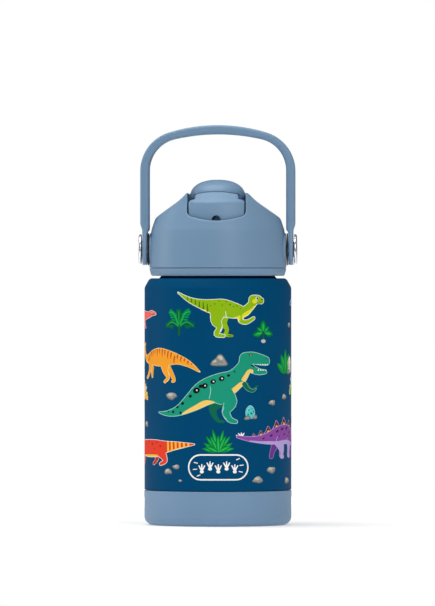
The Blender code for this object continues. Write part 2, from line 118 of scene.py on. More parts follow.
def soft_light(name, place, size, watts):
    """A rectangular lamp that points at the bottle."""
    lamp = bpy.data.lights.new(name, "AREA")
    lamp.shape = "RECTANGLE"
    lamp.size, lamp.size_y = size
    lamp.energy = watts
    obj = new_object(name, lamp)
    obj.location = place
    obj.rotation_euler = (Vector((0, 0, 0.1)) - Vector(place)).to_track_quat("-Z", "Y").to_euler()


def add_node(tree, kind, **values):
    """A shader node with some of its sockets set. An underscore in a socket's name is a space."""
    node = tree.nodes.new("ShaderNode" + kind)
    for socket, value in values.items():
        node.inputs[socket.replace("_", " ")].default_value = value
    return node


def white_world():
    """Surroundings that look white and light the bottle only a little."""
    world = bpy.data.worlds.new("studio")
    world.use_nodes = True
    tree = world.node_tree
    lighting = tree.nodes["Background"]
    lighting.inputs["Color"].default_value = (1, 1, 1, 1)
    lighting.inputs["Strength"].default_value = 0.24
    seen = add_node(tree, "Background", Color=(1, 1, 1, 1))
    mix = add_node(tree, "MixShader")
    tree.links.new(add_node(tree, "LightPath").outputs["Is Camera Ray"], mix.inputs["Fac"])
    tree.links.new(lighting.outputs["Background"], mix.inputs[1])
    tree.links.new(seen.outputs["Background"], mix.inputs[2])
    tree.links.new(mix.outputs["Shader"], tree.nodes["World Output"].inputs["Surface"])
    bpy.context.scene.world = world


def pale_floor(radius=0.5):
    """A white sheet that glows towards its edge, so that it fades into the surroundings."""
    sheet = bmesh.new()
    bmesh.ops.create_circle(sheet, cap_ends=True, segments=96, radius=radius)
    mesh = bpy.data.meshes.new("floor")
    sheet.to_mesh(mesh)
    sheet.free()
    paper = bpy.data.materials.new("floor_paper")
    paper.use_nodes = True
    tree = paper.node_tree
    shader = tree.nodes["Principled BSDF"]
    shader.inputs["Base Color"].default_value = (0.6, 0.6, 0.6, 1)
    shader.inputs["Roughness"].default_value = 0.9
    shader.inputs["Specular IOR Level"].default_value = 0.0
    shader.inputs["Emission Color"].default_value = (1, 1, 1, 1)
    place = add_node(tree, "TexCoord")
    spread = add_node(tree, "Mapping", Scale=(1.1 / radius,) * 3)
    near = add_node(tree, "TexGradient")
    near.gradient_type = "SPHERICAL"
    glow = add_node(tree, "MapRange", To_Min=0.9, To_Max=0.35)
    tree.links.new(place.outputs["Object"], spread.inputs["Vector"])
    tree.links.new(spread.outputs["Vector"], near.inputs["Vector"])
    tree.links.new(near.outputs["Fac"], glow.inputs["Value"])
    tree.links.new(glow.outputs["Result"], shader.inputs["Emission Strength"])
    mesh.materials.append(paper)
    new_object("floor", mesh)


def studio():
    """White surroundings, three soft boxes and a pale floor."""
    bpy.context.scene.view_settings.view_transform = "Standard"
    white_world()
    soft_light("key", (0.85, -2.1, 1.05), (0.6, 1.2), 16)
    soft_light("strip", (-2.0, 0.42, 0.4), (0.45, 1.5), 8)
    soft_light("overhead", (-0.25, -0.1, 1.4), (1.2, 1.2), 18)
    pale_floor()


# ---------------------------------------------------------------- materials

def linear(colour):
    """0 to 255 screen colour to a linear one."""
    parts = [c / 255 for c in colour]
    return tuple(p / 12.92 if p <= 0.04045 else ((p + 0.055) / 1.055) ** 2.4 for p in parts) + (1.0,)


def noise(tree, scale, detail, stretch):
    """Noise in object space, with features of about 1/scale metres."""
    mapping = add_node(tree, "Mapping", Scale=stretch)
    texture = add_node(tree, "TexNoise", Scale=scale, Detail=detail)
    tree.links.new(add_node(tree, "TexCoord").outputs["Object"], mapping.inputs["Vector"])
    tree.links.new(mapping.outputs["Vector"], texture.inputs["Vector"])
    return texture.outputs["Fac"]


def surface(name, colour, roughness, metallic=0.0, specular=0.5, tone=0.0, tone_scale=60, grain=(900, 0.05),
            spread=0.05, stretch=(1, 1, 1), extra=None):
    """A procedural material. tone mixes two near shades of the colour, grain is the (scale, depth in
    millimetres) of the bump, and spread is how far the roughness varies."""
    material = bpy.data.materials.new(name)
    material.use_nodes = True
    tree = material.node_tree
    link = tree.links.new
    shader = tree.nodes["Principled BSDF"]
    base = linear(colour)
    plain_values = {"Base Color": base, "Metallic": metallic, "Specular IOR Level": specular}
    for socket, value in {**plain_values, **(extra or {})}.items():
        shader.inputs[socket].default_value = value
    if tone:
        mix = tree.nodes.new("ShaderNodeMix")
        mix.data_type = "RGBA"
        mix.inputs["A"].default_value = tuple(c * (1 - tone) for c in base[:3]) + (1,)
        mix.inputs["B"].default_value = tuple(min(1, c * (1 + tone)) for c in base[:3]) + (1,)
        link(noise(tree, tone_scale, 4.0, stretch), mix.inputs["Factor"])
        link(mix.outputs["Result"], shader.inputs["Base Color"])
    fine = noise(tree, grain[0], 2.0, stretch)
    level = add_node(tree, "MapRange", To_Min=roughness - spread, To_Max=roughness + spread)
    link(fine, level.inputs["Value"])
    link(level.outputs["Result"], shader.inputs["Roughness"])
    bump = add_node(tree, "Bump", Strength=0.5, Distance=grain[1] * MM)
    link(fine, bump.inputs["Height"])
    link(bump.outputs["Normal"], shader.inputs["Normal"])
    return material


COAT = surface("navy_powder_coat", (0, 70, 111), 0.5, specular=0.025, tone=0.05, tone_scale=90,
    grain=(2600, 0.02))
STEEL = surface("brushed_liner_steel", (196, 196, 198), 0.3, metallic=1, tone=0.04, tone_scale=300,
    grain=(500, 0.01), stretch=(1, 1, 14))
POLISHED = surface("polished_cap_steel", (226, 227, 229), 0.26, metallic=1, tone=0.03, tone_scale=200,
    grain=(1500, 0.004))
PLASTIC = surface("moulded_blue_plastic", (115, 146, 175), 0.42, specular=0.3, tone=0.03, tone_scale=45,
    grain=(2200, 0.015))
BOOT_RUBBER = surface("blue_silicone", (115, 146, 176), 0.6, specular=0.2, tone=0.04, tone_scale=60,
    grain=(1800, 0.03), extra={"Sheen Weight": 0.15, "Sheen Roughness": 0.5})
SEAL = surface("clear_silicone", (214, 219, 222), 0.4, tone=0.03, grain=(1200, 0.02),
    extra={"Subsurface Weight": 0.2, "Subsurface Scale": 0.002})
STRAW = surface("straw_plastic", (222, 228, 232), 0.25, tone=0.02, grain=(700, 0.01), stretch=(1, 1, 0.1),
    extra={"Subsurface Weight": 0.25, "Subsurface Scale": 0.002})
BLACK = surface("black_washer_rubber", (22, 22, 24), 0.55, tone=0.2, grain=(1500, 0.03))
BRASS = surface("insert_brass", (199, 160, 90), 0.35, metallic=1, tone=0.06, grain=(900, 0.02))

INKS = {
    "white": (243, 244, 240), "cream": (250, 226, 150), "sand": (250, 205, 105), "black": (16, 22, 26),
    "lime": (143, 186, 20), "olive": (84, 120, 18), "yellow": (226, 222, 45), "gold": (245, 190, 60),
    "teal": (28, 150, 120), "deep_teal": (14, 104, 78), "mint": (160, 218, 206), "forest": (22, 92, 52),
    "leaf": (8, 150, 66), "bright_leaf": (48, 184, 84), "dark_leaf": (6, 104, 58),
    "orange": (246, 160, 44), "amber": (250, 190, 86), "rust": (196, 84, 40),
    "red": (232, 64, 42), "brick": (190, 40, 34), "peach": (250, 178, 120), "coral": (240, 110, 100),
    "purple": (142, 76, 162), "plum": (78, 32, 82), "maroon": (116, 38, 62), "lavender": (184, 164, 218),
    "violet": (110, 56, 140),
    "aqua": (92, 196, 210), "sky": (70, 150, 205), "stone": (150, 150, 144), "pale_stone": (196, 194, 184),
    "dark_stone": (104, 106, 104),
}


@functools.cache
def ink(key):
    """Screen-printed ink over the powder coat."""
    return surface("ink_" + key, INKS[key], 0.5, specular=0.04, grain=(2600, 0.02))


# ---------------------------------------------------------------- mesh tools

def add_piece(name, mesh, body, slot, material, *nodes):
    """Puts a mesh in the scene as a piece of a body. It stands for the nodes."""
    obj = new_object(name, mesh)
    for one in material if isinstance(material, list) else [material]:
        mesh.materials.append(one)
    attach(obj, body)
    if nodes:
        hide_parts(*nodes)


def mesh_from(name, points, faces, sharp=40):
    """A smooth-shaded mesh in metres from points in millimetres, with its normals outward."""
    mesh = bpy.data.meshes.new(name)
    mesh.from_pydata([tuple(c * MM for c in p) for p in points], [], faces)
    work = bmesh.new()
    work.from_mesh(mesh)
    bmesh.ops.recalc_face_normals(work, faces=work.faces)
    work.to_mesh(mesh)
    work.free()
    mesh.shade_smooth()
    mesh.set_sharp_from_angle(angle=math.radians(sharp))
    return mesh


def with_modifiers(obj, *helpers):
    """The mesh of an object with its modifiers applied. The object and its helpers are removed."""
    mesh = bpy.data.meshes.new_from_object(obj.evaluated_get(bpy.context.evaluated_depsgraph_get()))
    mesh.name = obj.name
    for one in (obj, *helpers):
        bpy.data.objects.remove(one)
    mesh.materials.clear()
    mesh.shade_smooth()
    mesh.set_sharp_from_angle(angle=math.radians(50))
    return mesh


def arc(middle, radius, start, end, steps):
    """Points along a circle, from the start angle to the end angle in degrees."""
    angles = [math.radians(start + (end - start) * step / steps) for step in range(steps + 1)]
    return [(middle[0] + radius * math.cos(a), middle[1] + radius * math.sin(a)) for a in angles]


def rounded(points, radius, closed=True, steps=4):
    """The outline with its corners eased by the radius."""
    result = []
    count = len(points)
    for index, corner in enumerate(points):
        if not closed and index in (0, count - 1):
            result.append(tuple(corner))
            continue
        here = Vector(corner)
        before, after = Vector(points[index - 1]) - here, Vector(points[(index + 1) % count]) - here
        if before.angle(-after) < math.radians(14):
            result.append(tuple(corner))
            continue
        reach = min(radius, before.length * 0.45, after.length * 0.45)
        start, end = here + before.normalized() * reach, here + after.normalized() * reach
        for step in range(steps + 1):
            t = step / steps
            result.append(tuple(start * (1 - t) ** 2 + here * 2 * t * (1 - t) + end * t**2))
    return result


def turned(name, profile, segments=144, along_x=0, middle=(0, 0, 0), ridge=None):
    """A turned mesh from (radius, height) points. Where it starts and ends on the axis it is solid
    through the middle, and otherwise it is a ring. ridge(angle, radius, height) adds to the radius."""
    solid = profile[0][0] == 0 and profile[-1][0] == 0
    points, rows = [], []
    for radius, height in profile:
        if radius == 0:
            rows.append([len(points)] * segments)
            points.append((0, 0, height))
            continue
        rows.append(list(range(len(points), len(points) + segments)))
        for step in range(segments):
            angle = math.tau * step / segments
            r = radius + (ridge(angle, radius, height) if ridge else 0)
            points.append((r * math.cos(angle), r * math.sin(angle), height))
    faces = []
    for row, following in zip(rows, rows[1:] if solid else rows[1:] + rows[:1]):
        for step in range(segments):
            after = (step + 1) % segments
            corners = dict.fromkeys((row[step], row[after], following[after], following[step]))
            if len(corners) > 2:
                faces.append(tuple(corners))
    if along_x:
        points = [(along_x * z, y, -along_x * x) for x, y, z in points]
    return mesh_from(name, [tuple(a + b for a, b in zip(p, middle)) for p in points], faces)


def thread(crest, first_turn, last_turn, start_z):
    """Height of a helical ridge, as a function for turned()."""
    def ridge(angle, radius, height):
        best = 0.0
        for whole in (-1, 0, 1):
            turn = whole + angle / math.tau
            if not first_turn < turn < last_turn:
                continue
            beside = abs(height - start_z - PITCH * turn)
            fade = min(1.0, (turn - first_turn) * 12, (last_turn - turn) * 12)
            best = max(best, fade * min(1.0, max(0.0, (0.9 - beside) / 0.5)))
        return crest * best
    return ridge


def smooth_max(a, b, ease):
    """The larger of two fields, with a fillet where they meet."""
    share = np.clip(0.5 + 0.5 * (a - b) / ease, 0, 1)
    return b + (a - b) * share + ease * share * (1 - share)


def outline_distance(u, v, points):
    """Signed distance to a closed outline, negative inside."""
    nearest = np.full(u.shape, 1e9)
    inside = np.zeros(u.shape, bool)
    for (ax, ay), (bx, by) in zip(points, points[1:] + points[:1]):
        ex, ey = bx - ax, by - ay
        t = np.clip(((u - ax) * ex + (v - ay) * ey) / (ex * ex + ey * ey), 0, 1)
        nearest = np.minimum(nearest, (u - ax - t * ex) ** 2 + (v - ay - t * ey) ** 2)
        level = ey if ey else 1.0
        inside ^= ((ay > v) != (by > v)) & (u < ax + ex * (v - ay) / level)
    return np.where(inside, -1, 1) * np.sqrt(nearest)


def block(x, y, z, low, high):
    """Signed distance to a block."""
    sides = [np.maximum(a - h, l - a) for a, l, h in zip((x, y, z), low, high)]
    return np.maximum(np.maximum(sides[0], sides[1]), sides[2])


def curve_table(points, rounds=3):
    """A polyline with its corners cut, for reading one coordinate from the other."""
    line = [tuple(map(float, p)) for p in points]
    for _ in range(rounds):
        cut = [line[0]]
        for (ax, ay), (bx, by) in zip(line, line[1:]):
            cut += [(ax + (bx - ax) * t, ay + (by - ay) * t) for t in (0.25, 0.75)]
        line = cut + [line[-1]]
    return np.array(line).T


def settle(points, field, rounds=8):
    """Moves points onto the zero level of a smooth field, along its slope."""
    nudge = 0.02
    for _ in range(rounds):
        value = field(*points.T)
        slope = np.empty_like(points)
        for axis in range(3):
            ahead, behind = points.copy(), points.copy()
            ahead[:, axis] += nudge
            behind[:, axis] -= nudge
            slope[:, axis] = (field(*ahead.T) - field(*behind.T)) / (2 * nudge)
        step = slope * (value / np.maximum((slope**2).sum(1), 0.25))[:, None]
        length = np.linalg.norm(step, axis=1, keepdims=True)
        points = points - step * np.minimum(1, 0.4 / np.maximum(length, 1e-9))
    return points


def moulded(name, node, field, cell=0.5, keep=0.35, margin=3):
    """A moulded mesh: the zero level of a smooth field, inside the box of the CAD node and a margin.
    It has one point in each grid cell that the surface crosses and one face for each grid edge that it
    crosses, and it is thinned to the share of faces in keep."""
    low, high = span(node)
    axes = [np.arange(a - margin, b + margin, cell) for a, b in zip(low, high)]
    grid = np.meshgrid(*axes, indexing="ij")
    inside = field(*(g.ravel() for g in grid)).reshape(grid[0].shape) < 0
    nx, ny, nz = inside.shape
    count = np.zeros((nx - 1, ny - 1, nz - 1), int)
    for i, j, k in np.ndindex(2, 2, 2):
        count += inside[i:nx - 1 + i, j:ny - 1 + j, k:nz - 1 + k]
    crossed = (count > 0) & (count < 8)
    index = np.full(crossed.shape, -1)
    index[crossed] = np.arange(crossed.sum())
    points = np.stack([axis[where] + cell / 2 for axis, where in zip(axes, np.nonzero(crossed))], axis=1)
    faces = []
    for axis in range(3):
        near, cells = np.moveaxis(inside, axis, 0), np.moveaxis(index, axis, 0)
        lower, upper = near[:-1, 1:-1, 1:-1], near[1:, 1:-1, 1:-1]
        i, j, k = np.nonzero(lower != upper)
        quads = np.stack([cells[i, j + u, k + v] for u, v in ((0, 0), (1, 0), (1, 1), (0, 1))], axis=1)
        flipped = lower[i, j, k] == (axis == 1)
        quads[flipped] = quads[flipped][:, ::-1]
        faces += quads.tolist()
    mesh = bpy.data.meshes.new(name)
    mesh.from_pydata((settle(points, field) * MM).tolist(), [], faces)
    work = new_object(name, mesh)
    work.modifiers.new("thin", "DECIMATE").ratio = keep
    return with_modifiers(work)


# ---------------------------------------------------------------- flask

def neck_rows(low, high):
    """Heights from low to high, close enough together to carry a thread."""
    count = round((high - low) / 0.2)
    return [low + (high - low) * step / count for step in range(count + 1)]


def flask_wall():
    """Coated outer wall with its turned-in base, eased shoulder and threaded neck."""
    wall, lower_r, step_z, neck_r = 0.6, BOOT_R - 1.8, BOOT_TOP + GAP, 28.4
    shoulder, collar = 117.8, 122.6
    outside = [(30.0, SHELL_LOW)] + arc((lower_r - 3.2, SHELL_LOW + 3.2), 3.2, -90, 0, 8)
    outside += [(lower_r, step_z), (BODY_R, step_z), (BODY_R, shoulder), (36.1, 118.8), (34.4, 121.8)]
    outside += [(33.3, collar), (29.2, collar), (neck_r, collar + 1)]
    inside = [(neck_r - wall, NECK_TOP), (neck_r - wall, collar + 0.7), (28.8, collar - wall)]
    inside += [(33.1, collar - wall), (33.9, 121.4), (35.5, 118.5), (BODY_R - wall, shoulder - 0.2)]
    inside += [(BODY_R - wall, step_z + wall), (lower_r - wall, step_z + wall)]
    inside += arc((lower_r - 3.2, SHELL_LOW + 3.2), 3.2 - wall, 0, -90, 8) + [(30.0, SHELL_LOW + wall)]
    profile = rounded(outside, 0.3, closed=False)
    profile += [(neck_r, z) for z in neck_rows(collar + 1.1, NECK_TOP)] + inside
    screw = thread(1.0, 0, 1.1, THREAD_Z)
    mesh = turned("flask_wall", profile, 180, ridge=lambda a, r, z: screw(a, r, z) if r == neck_r else 0)
    add_piece("flask_wall", mesh, "bottle", "flask_coat", COAT, "outer_shell")


def steel_liner():
    """Liner with a rounded floor, sloping shoulder and rim flange."""
    outer_r, wall, neck = 33.6, 0.5, 27.4
    corner = (outer_r - 6, LINER_LOW + 6)
    outside = [(0, LINER_LOW)] + arc(corner, 6, -90, 0, 10)
    outside += [(outer_r, 113.5), (33.0, 116.0), (31.5, 118.2), (29.0, 120.0), (neck, 121.8)]
    outside += [(neck, RIM_TOP - 0.5), (28.4, RIM_TOP - 0.5), (28.4, RIM_TOP)]
    inside = [(neck - wall, RIM_TOP), (neck - wall, 121.6), (28.6, 119.6), (31.1, 117.8), (32.5, 115.8)]
    inside += [(outer_r - wall, 113.4)] + arc(corner, 6 - wall, 0, -90, 10) + [(0, LINER_LOW + wall)]
    mesh = turned("steel_liner", rounded(outside + inside, 0.2, closed=False), 128)
    add_piece("steel_liner", mesh, "bottle", "flask_steel", STEEL, "inner_flask")


def boot():
    """Soft boot with a rolled upper edge and a ring groove in its foot."""
    inner_r = BOOT_R - 1.5
    profile = [(0, 0), (20, 0), (20.4, 0.6), (21.6, 0.6), (22, 0)]
    profile += arc((BOOT_R - 4.5, 4.5), 4.5, -90, 0, 14)
    profile += [(BOOT_R, BOOT_TOP), (inner_r, BOOT_TOP)]
    profile += arc((inner_r - 3.5, 5.5), 3.5, 0, -90, 8) + [(0, 2.0)]
    mesh = turned("boot", rounded(profile, 0.45, closed=False), 180)
    add_piece("boot", mesh, "bottle", "boot_silicone", BOOT_RUBBER, "silicone_boot")


# ---------------------------------------------------------------- lid

# Radius of the round wall by height, and height of the roof by distance from the middle
LID_WALL = curve_table([(120, LID_R), (COVER_LOW, LID_R), (145.8, 33.35), (148.6, 32.4), (151.6, 31.4),
    (165.5, 26.6), (172.0, 24.2)], 2)
LID_ROOF = curve_table([(0, RIDGE_Z), (13.4, RIDGE_Z - 0.1), (14.8, 165.0), (16.0, 163.6), (18.9, 160.9),
    (23.8, 157.5), (28.8, 154.1), (36.0, 149.2), (45, 143)], 2)


def lid_outside(x, y, z):
    """Steep round wall under a gable roof, with a soft fillet between them."""
    wall = (np.hypot(x, y) - np.interp(z, *LID_WALL)) * 0.96
    slope = np.where(np.abs(x) > 15.5, 0.78, 1.0)
    roof = (z - np.interp(np.abs(x), *LID_ROOF)) * slope
    return smooth_max(wall, roof, 0.8)


def front_edge():
    """Outline of the front opening: a sagging lower edge with round corners."""
    flat = CHANNEL_HALF - 3.0
    lower = [(x, 151.1 + 1.8 * (x / flat) ** 2) for x in (0, 2, 4, 6, 8, 10)]
    half = lower + arc((flat, 155.9), 3.0, -90, 0, 8) + [(CHANNEL_HALF, 175)]
    return [(-x, z) for x, z in reversed(half[1:])] + half


def lid_hollows(x, y, z):
    """Spout channel, front opening and the pocket behind them."""
    from_hinge = np.sqrt(x**2 + y**2 + (z - SPOUT_Z) ** 2)
    channel = block(x, y, z, (-CHANNEL_HALF, -40, CHANNEL_FLOOR), (CHANNEL_HALF, 9.3, 180))
    channel = smooth_max(channel, from_hinge - SPOUT_REACH - 0.4, 0.4)
    front = np.maximum(outline_distance(x, z, front_edge()), y + 18)
    pocket = block(x, y, z, (-POCKET_HALF, 8.8, 137.5), (POCKET_HALF, 21.2, 180))
    return np.minimum(np.minimum(channel, front), pocket)


def lid_field(x, y, z):
    """Cover of the lid: outside, spout channel, inner hollows, pivot bosses and holes."""
    outside = lid_outside(x, y, z)
    inner = POCKET_HALF + 2.0  # outer face of the walls beside the channel
    low = np.maximum(np.hypot(x, y) - np.interp(z, *LID_WALL) + 2.05, z - CHANNEL_FLOOR + 1.8)
    pocket_wall = block(x, y, z, (-inner, 7.3, 135.7), (inner, 23.2, 180))
    low = np.maximum(low, -pocket_wall)
    side = np.maximum(np.maximum(outside + 2.0, inner - np.abs(x)), 142.8 - z)
    solid = smooth_max(outside, COVER_LOW - z, 0.2)
    solid = smooth_max(solid, -np.minimum(low, side), 0.4)
    around = np.hypot(y, z - HANDLE_Z)
    pad = smooth_max(smooth_max(around - 8.0, np.abs(x) - BOSS_FACE, 0.5), 32.2 - np.abs(x), 0.1)
    boss = block(np.abs(x), y, z, (26, -4.5, PLATE_TOP + GAP), (32.5, 4.5, 141.2))
    solid = -smooth_max(-solid, -np.minimum(pad, boss), 0.3)
    solid = smooth_max(solid, -lid_hollows(x, y, z), 0.7)
    screw_hole = np.maximum(around - np.where(np.abs(x) < 31.3, 2.5, 1.8), np.abs(x) - 36)
    pin_hole = np.maximum(np.hypot(y, z - SPOUT_Z) - PIN_R, np.abs(x) - 18)
    seat_hole = np.maximum(np.hypot(x, y) - 4.5, np.abs(z - 144.5) - 2.5)
    vent = np.maximum(np.hypot(x - 8, y - 15) - 1.2, np.abs(z - 136.5) - 2.5)
    holes = np.minimum(np.minimum(screw_hole, pin_hole), np.minimum(seat_hole, vent))
    return np.maximum(solid, -holes)


def lid_liner():
    """Lower ring of the lid, with its thread, closing plate and straw hub."""
    bore, skirt = 29.9, 31.7
    outside = [(30.2, BASE_LOW), (32.8, BASE_LOW), (33.4, BASE_LOW + 1.0), (34.0, 127.3), (34.0, 127.5)]
    outside += [(33.7, 127.5), (33.6, 127.76), (skirt, 127.76), (skirt, PLATE_TOP), (7.0, PLATE_TOP)]
    outside += [(7.0, HUB_TOP), (5.2, HUB_TOP), (5.2, PLATE_LOW)]
    rows = [(bore, z) for z in reversed(neck_rows(BASE_LOW + 0.4, PLATE_LOW - 0.2))]
    screw = thread(1.0, -0.4, 0.6, THREAD_Z + PITCH / 2)
    profile = rounded(outside, 0.2, closed=False) + [(bore, PLATE_LOW)] + rows
    mesh = turned("lid_liner", profile, 160, ridge=lambda a, r, z: -screw(a, r, z) if r == bore else 0)
    add_piece("lid_liner", mesh, "lid", "lid_plastic", PLASTIC, "lid_base")


# ---------------------------------------------------------------- spout

def spout_field(x, y, z):
    """Drinking spout: round nose, sloping tongue, hinge barrel and the drinking bore."""
    low = SPOUT_Z - 3.5
    side = [(-32, low), (-32, 159.9), (-28.0, 160.6), (-20.3, 165.4), (1.0, 165.0), (4.5, 162.2)]
    side += arc((0, SPOUT_Z), BARREL_R, 0, -140.5, 24)
    crown = TONGUE_CROWN * (x / TONGUE_HALF) ** 2 * np.clip((z - 155) / 6, 0, 1)
    side = outline_distance(y, z + np.minimum(crown, TONGUE_CROWN), side)
    body = smooth_max(side, np.abs(x) - SPOUT_HALF, 0.8)
    from_hinge = np.sqrt(x**2 + y**2 + (z - SPOUT_Z) ** 2)
    body = smooth_max(body, from_hinge - SPOUT_REACH, 0.8)
    beside = [(10.1, 175), (TONGUE_HALF, 161.9), (13.3, 161.0), (14.7, 159.8), (22, 159.8), (22, 175)]
    steps = np.maximum(outline_distance(np.abs(x), z, beside), y - 12)
    body = smooth_max(body, -steps, 0.9)
    bore = np.hypot(x, z - SPOUT_Z) - 2.15
    pins = np.maximum(np.hypot(y, z - SPOUT_Z) - PIN_R, 9.7 - np.abs(x))
    return smooth_max(smooth_max(body, -bore, 0.25), -pins, 0.2)


def hood_field(x, y, z):
    """Egg-shaped thumb hood straddling the tongue. Its skirt follows the spout's shoulders."""
    rise, middle, power = 9.0, -3.0, 2.3
    low = HOOD_TOP - rise
    reach = np.where(y < middle, 17.2, 15.4)
    across = np.abs(x / HOOD_HALF) ** power + np.abs((y - middle) / reach) ** power
    over = np.abs(np.maximum(z - low, 0) / rise) ** power
    dome = ((across + over + 1e-9) ** (1 / power) - 1) * rise
    skirt = np.interp(np.abs(x), (TONGUE_HALF, 13.3, 14.7), (162.3, 161.4, 160.2))
    foot = skirt + (low + 0.1 - skirt) * np.clip((y + 4) / 4, 0, 1)
    shell = smooth_max(dome, foot - z, 0.4)
    tongue = [(-32, 150), (-32, 158.2), (-20.4, 165.5), (1.5, 165.5), (5.2, 162.7), (5.2, 150)]
    crown = TONGUE_CROWN * (x / TONGUE_HALF) ** 2
    room = outline_distance(y, z + np.minimum(crown, TONGUE_CROWN), tongue)
    return smooth_max(shell, -np.maximum(room, np.abs(x) - TONGUE_HALF - 0.1), 0.3)


def moulded_piece(name, body, node, *how):
    """Lid, spout or hood: a piece of blue plastic that is given by a field."""
    add_piece(name, moulded(name, node, *how), body, "lid_plastic", PLASTIC, node)


# ---------------------------------------------------------------- handle and pivots

def arch(half_width, top, crown_r, corner_r):
    """Half outline of the arch, from the middle of its crown to the straight arm."""
    crown_z, corner_x, reach = top - crown_r, half_width - corner_r, crown_r - corner_r
    corner_z = crown_z + math.sqrt(reach**2 - corner_x**2)
    tangent = math.degrees(math.asin(corner_x / reach))
    crown = arc((0, crown_z), crown_r, 90, 90 - tangent, 12)
    return crown + arc((corner_x, corner_z), corner_r, 90 - tangent, 0, 18)[1:]


def ease(value, start, end):
    """Smooth step from 0 at start to 1 at end."""
    t = min(1, max(0, (value - start) / (end - start)))
    return t * t * (3 - 2 * t)


def handle():
    """Bail handle, a band with round edges whose arms thin out to round paddles."""
    thick, band_half = 4.49, 6.0
    paddle_out, paddle_in = 37.5, 35.1
    outer = arch(HANDLE_HALF, HANDLE_TOP, 83, 20)
    inner = arch(HANDLE_HALF - thick, HANDLE_TOP - thick, 96, 16)
    stations = [(a, b, band_half) for a, b in zip(outer, inner)]
    arm_low = HANDLE_Z - PADDLE_R
    heights = [outer[-1][1] - 2.0 * step for step in range(1, 13)]
    heights += [HANDLE_Z + (152.0 - HANDLE_Z) * (1 - step / 14) for step in range(15)]
    heights += [HANDLE_Z - PADDLE_R * math.sin(math.radians(6.2 * step)) for step in range(1, 15)]
    for z in heights:
        out_x = paddle_out + (HANDLE_HALF - paddle_out) * ease(z, 146, 150)
        in_x = paddle_in + (HANDLE_HALF - thick - paddle_in) * ease(z, 145.2, 147.0)
        if z < HANDLE_Z:
            half = math.sqrt(max(0.6, PADDLE_R**2 - (HANDLE_Z - z) ** 2))
        else:
            half = band_half + (PADDLE_R - band_half) * (1 - ease(z, HANDLE_Z, 148.5))
        stations.append(((out_x, max(z, arm_low)), (in_x, max(z, arm_low)), half))
    mirrored = [((-a[0], a[1]), (-b[0], b[1]), half) for a, b, half in stations[1:]]
    points, steps = [], 6
    for a, b, half in mirrored[::-1] + stations:
        across = Vector((a[0] - b[0], a[1] - b[1]))
        middle = Vector(((a[0] + b[0]) / 2, (a[1] + b[1]) / 2))
        edge = min(1.3, across.length * 0.42, half * 0.9)
        for quarter, (su, sv) in enumerate(((1, 1), (-1, 1), (-1, -1), (1, -1))):
            for step in range(steps):
                angle = math.radians(90 * quarter + 90 * step / (steps - 1))
                u = su * (across.length / 2 - edge) + edge * math.cos(angle)
                spot = middle + across.normalized() * u
                points.append((spot.x, sv * (half - edge) + edge * math.sin(angle), spot.y))
    sides = 4 * steps
    rings = len(points) // sides
    faces = []
    for first in range(0, (rings - 1) * sides, sides):
        for side in range(sides):
            after = (side + 1) % sides
            faces.append((first + side, first + after, first + sides + after, first + sides + side))
    faces += [tuple(range(sides)), tuple(range((rings - 1) * sides, rings * sides))]
    obj = new_object("handle", mesh_from("handle", points, faces, 50))
    rod = turned("drill", [(0, -45), (4.0, -45), (4.0, 45), (0, 45)], 48, 1, (0, 0, HANDLE_Z))
    drill = new_object("drill", rod)
    obj.modifiers.new("hole", "BOOLEAN").object = drill
    add_piece("handle", with_modifiers(obj, drill), "handle", "lid_plastic", PLASTIC, "carry_handle")


def pivot(word, side):
    """Polished shoulder screw with a broad cap, and its washer."""
    low, high, cap_low = BOSS_FACE + GAP, 34.8, 38.0
    screw = [(0, 27.5), (1.5, 27.8), (1.5, low), (3.7, low), (3.7, cap_low)]
    screw += [(CAP_R, cap_low), (CAP_R, CAP_FACE - 0.5), (CAP_R - 0.6, CAP_FACE), (0, CAP_FACE)]
    mesh = turned(f"cap_screw_{word}", rounded(screw, 0.35, closed=False), 96, side, (0, 0, HANDLE_Z))
    add_piece(f"cap_screw_{word}", mesh, "lid", "pivot_steel", POLISHED, f"pivot_screw_{word}")
    washer = rounded([(4.0, low), (8.0, low), (8.0, high), (4.0, high)], 0.15)
    mesh = turned(f"washer_{word}", washer, 96, side, (0, 0, HANDLE_Z))
    add_piece(f"washer_{word}", mesh, "lid", "washer_rubber", BLACK, f"pivot_washer_{word}")


# ---------------------------------------------------------------- seals and straw

def inner_parts():
    """Gasket, straw connector and straw, turned smooth."""
    low, high = span("lid_seal_ring")
    inner_r = 26.9
    ring = rounded([(inner_r, low.z), (high.x, low.z), (high.x, high.z), (inner_r, high.z)], 0.3)
    add_piece("rim_gasket_ring", turned("rim_gasket_ring", ring, 144), "rim_gasket", "seal_silicone", SEAL,
        "lid_seal_ring")
    top = PLATE_LOW - GAP
    nipple = [(2.2, 121), (2.6, 121), (3.0, 122), (3.0, 130.3), (8, 130.3), (8, top), (4.9, top), (4.9, 136.9)]
    nipple += [(2.2, 136.9)]
    add_piece("straw_nipple", turned("straw_nipple", rounded(nipple, 0.3), 64), "straw_set", "seal_silicone",
        SEAL, "straw_connector")
    tube_low, tube_high = span("straw")
    outer_r = tube_high.x
    tube = [(outer_r - 0.6, 10.5), (outer_r, 10.5), (outer_r, tube_high.z), (outer_r - 0.6, tube_high.z)]
    mesh = turned("drinking_straw", rounded(tube, 0.15), 64)
    for vertex in mesh.vertices:
        if vertex.co.z < 11.5 * MM:
            vertex.co.z += (outer_r * MM + vertex.co.x) * 0.5
    add_piece("drinking_straw", mesh, "straw_set", "straw_plastic", STRAW, "straw")


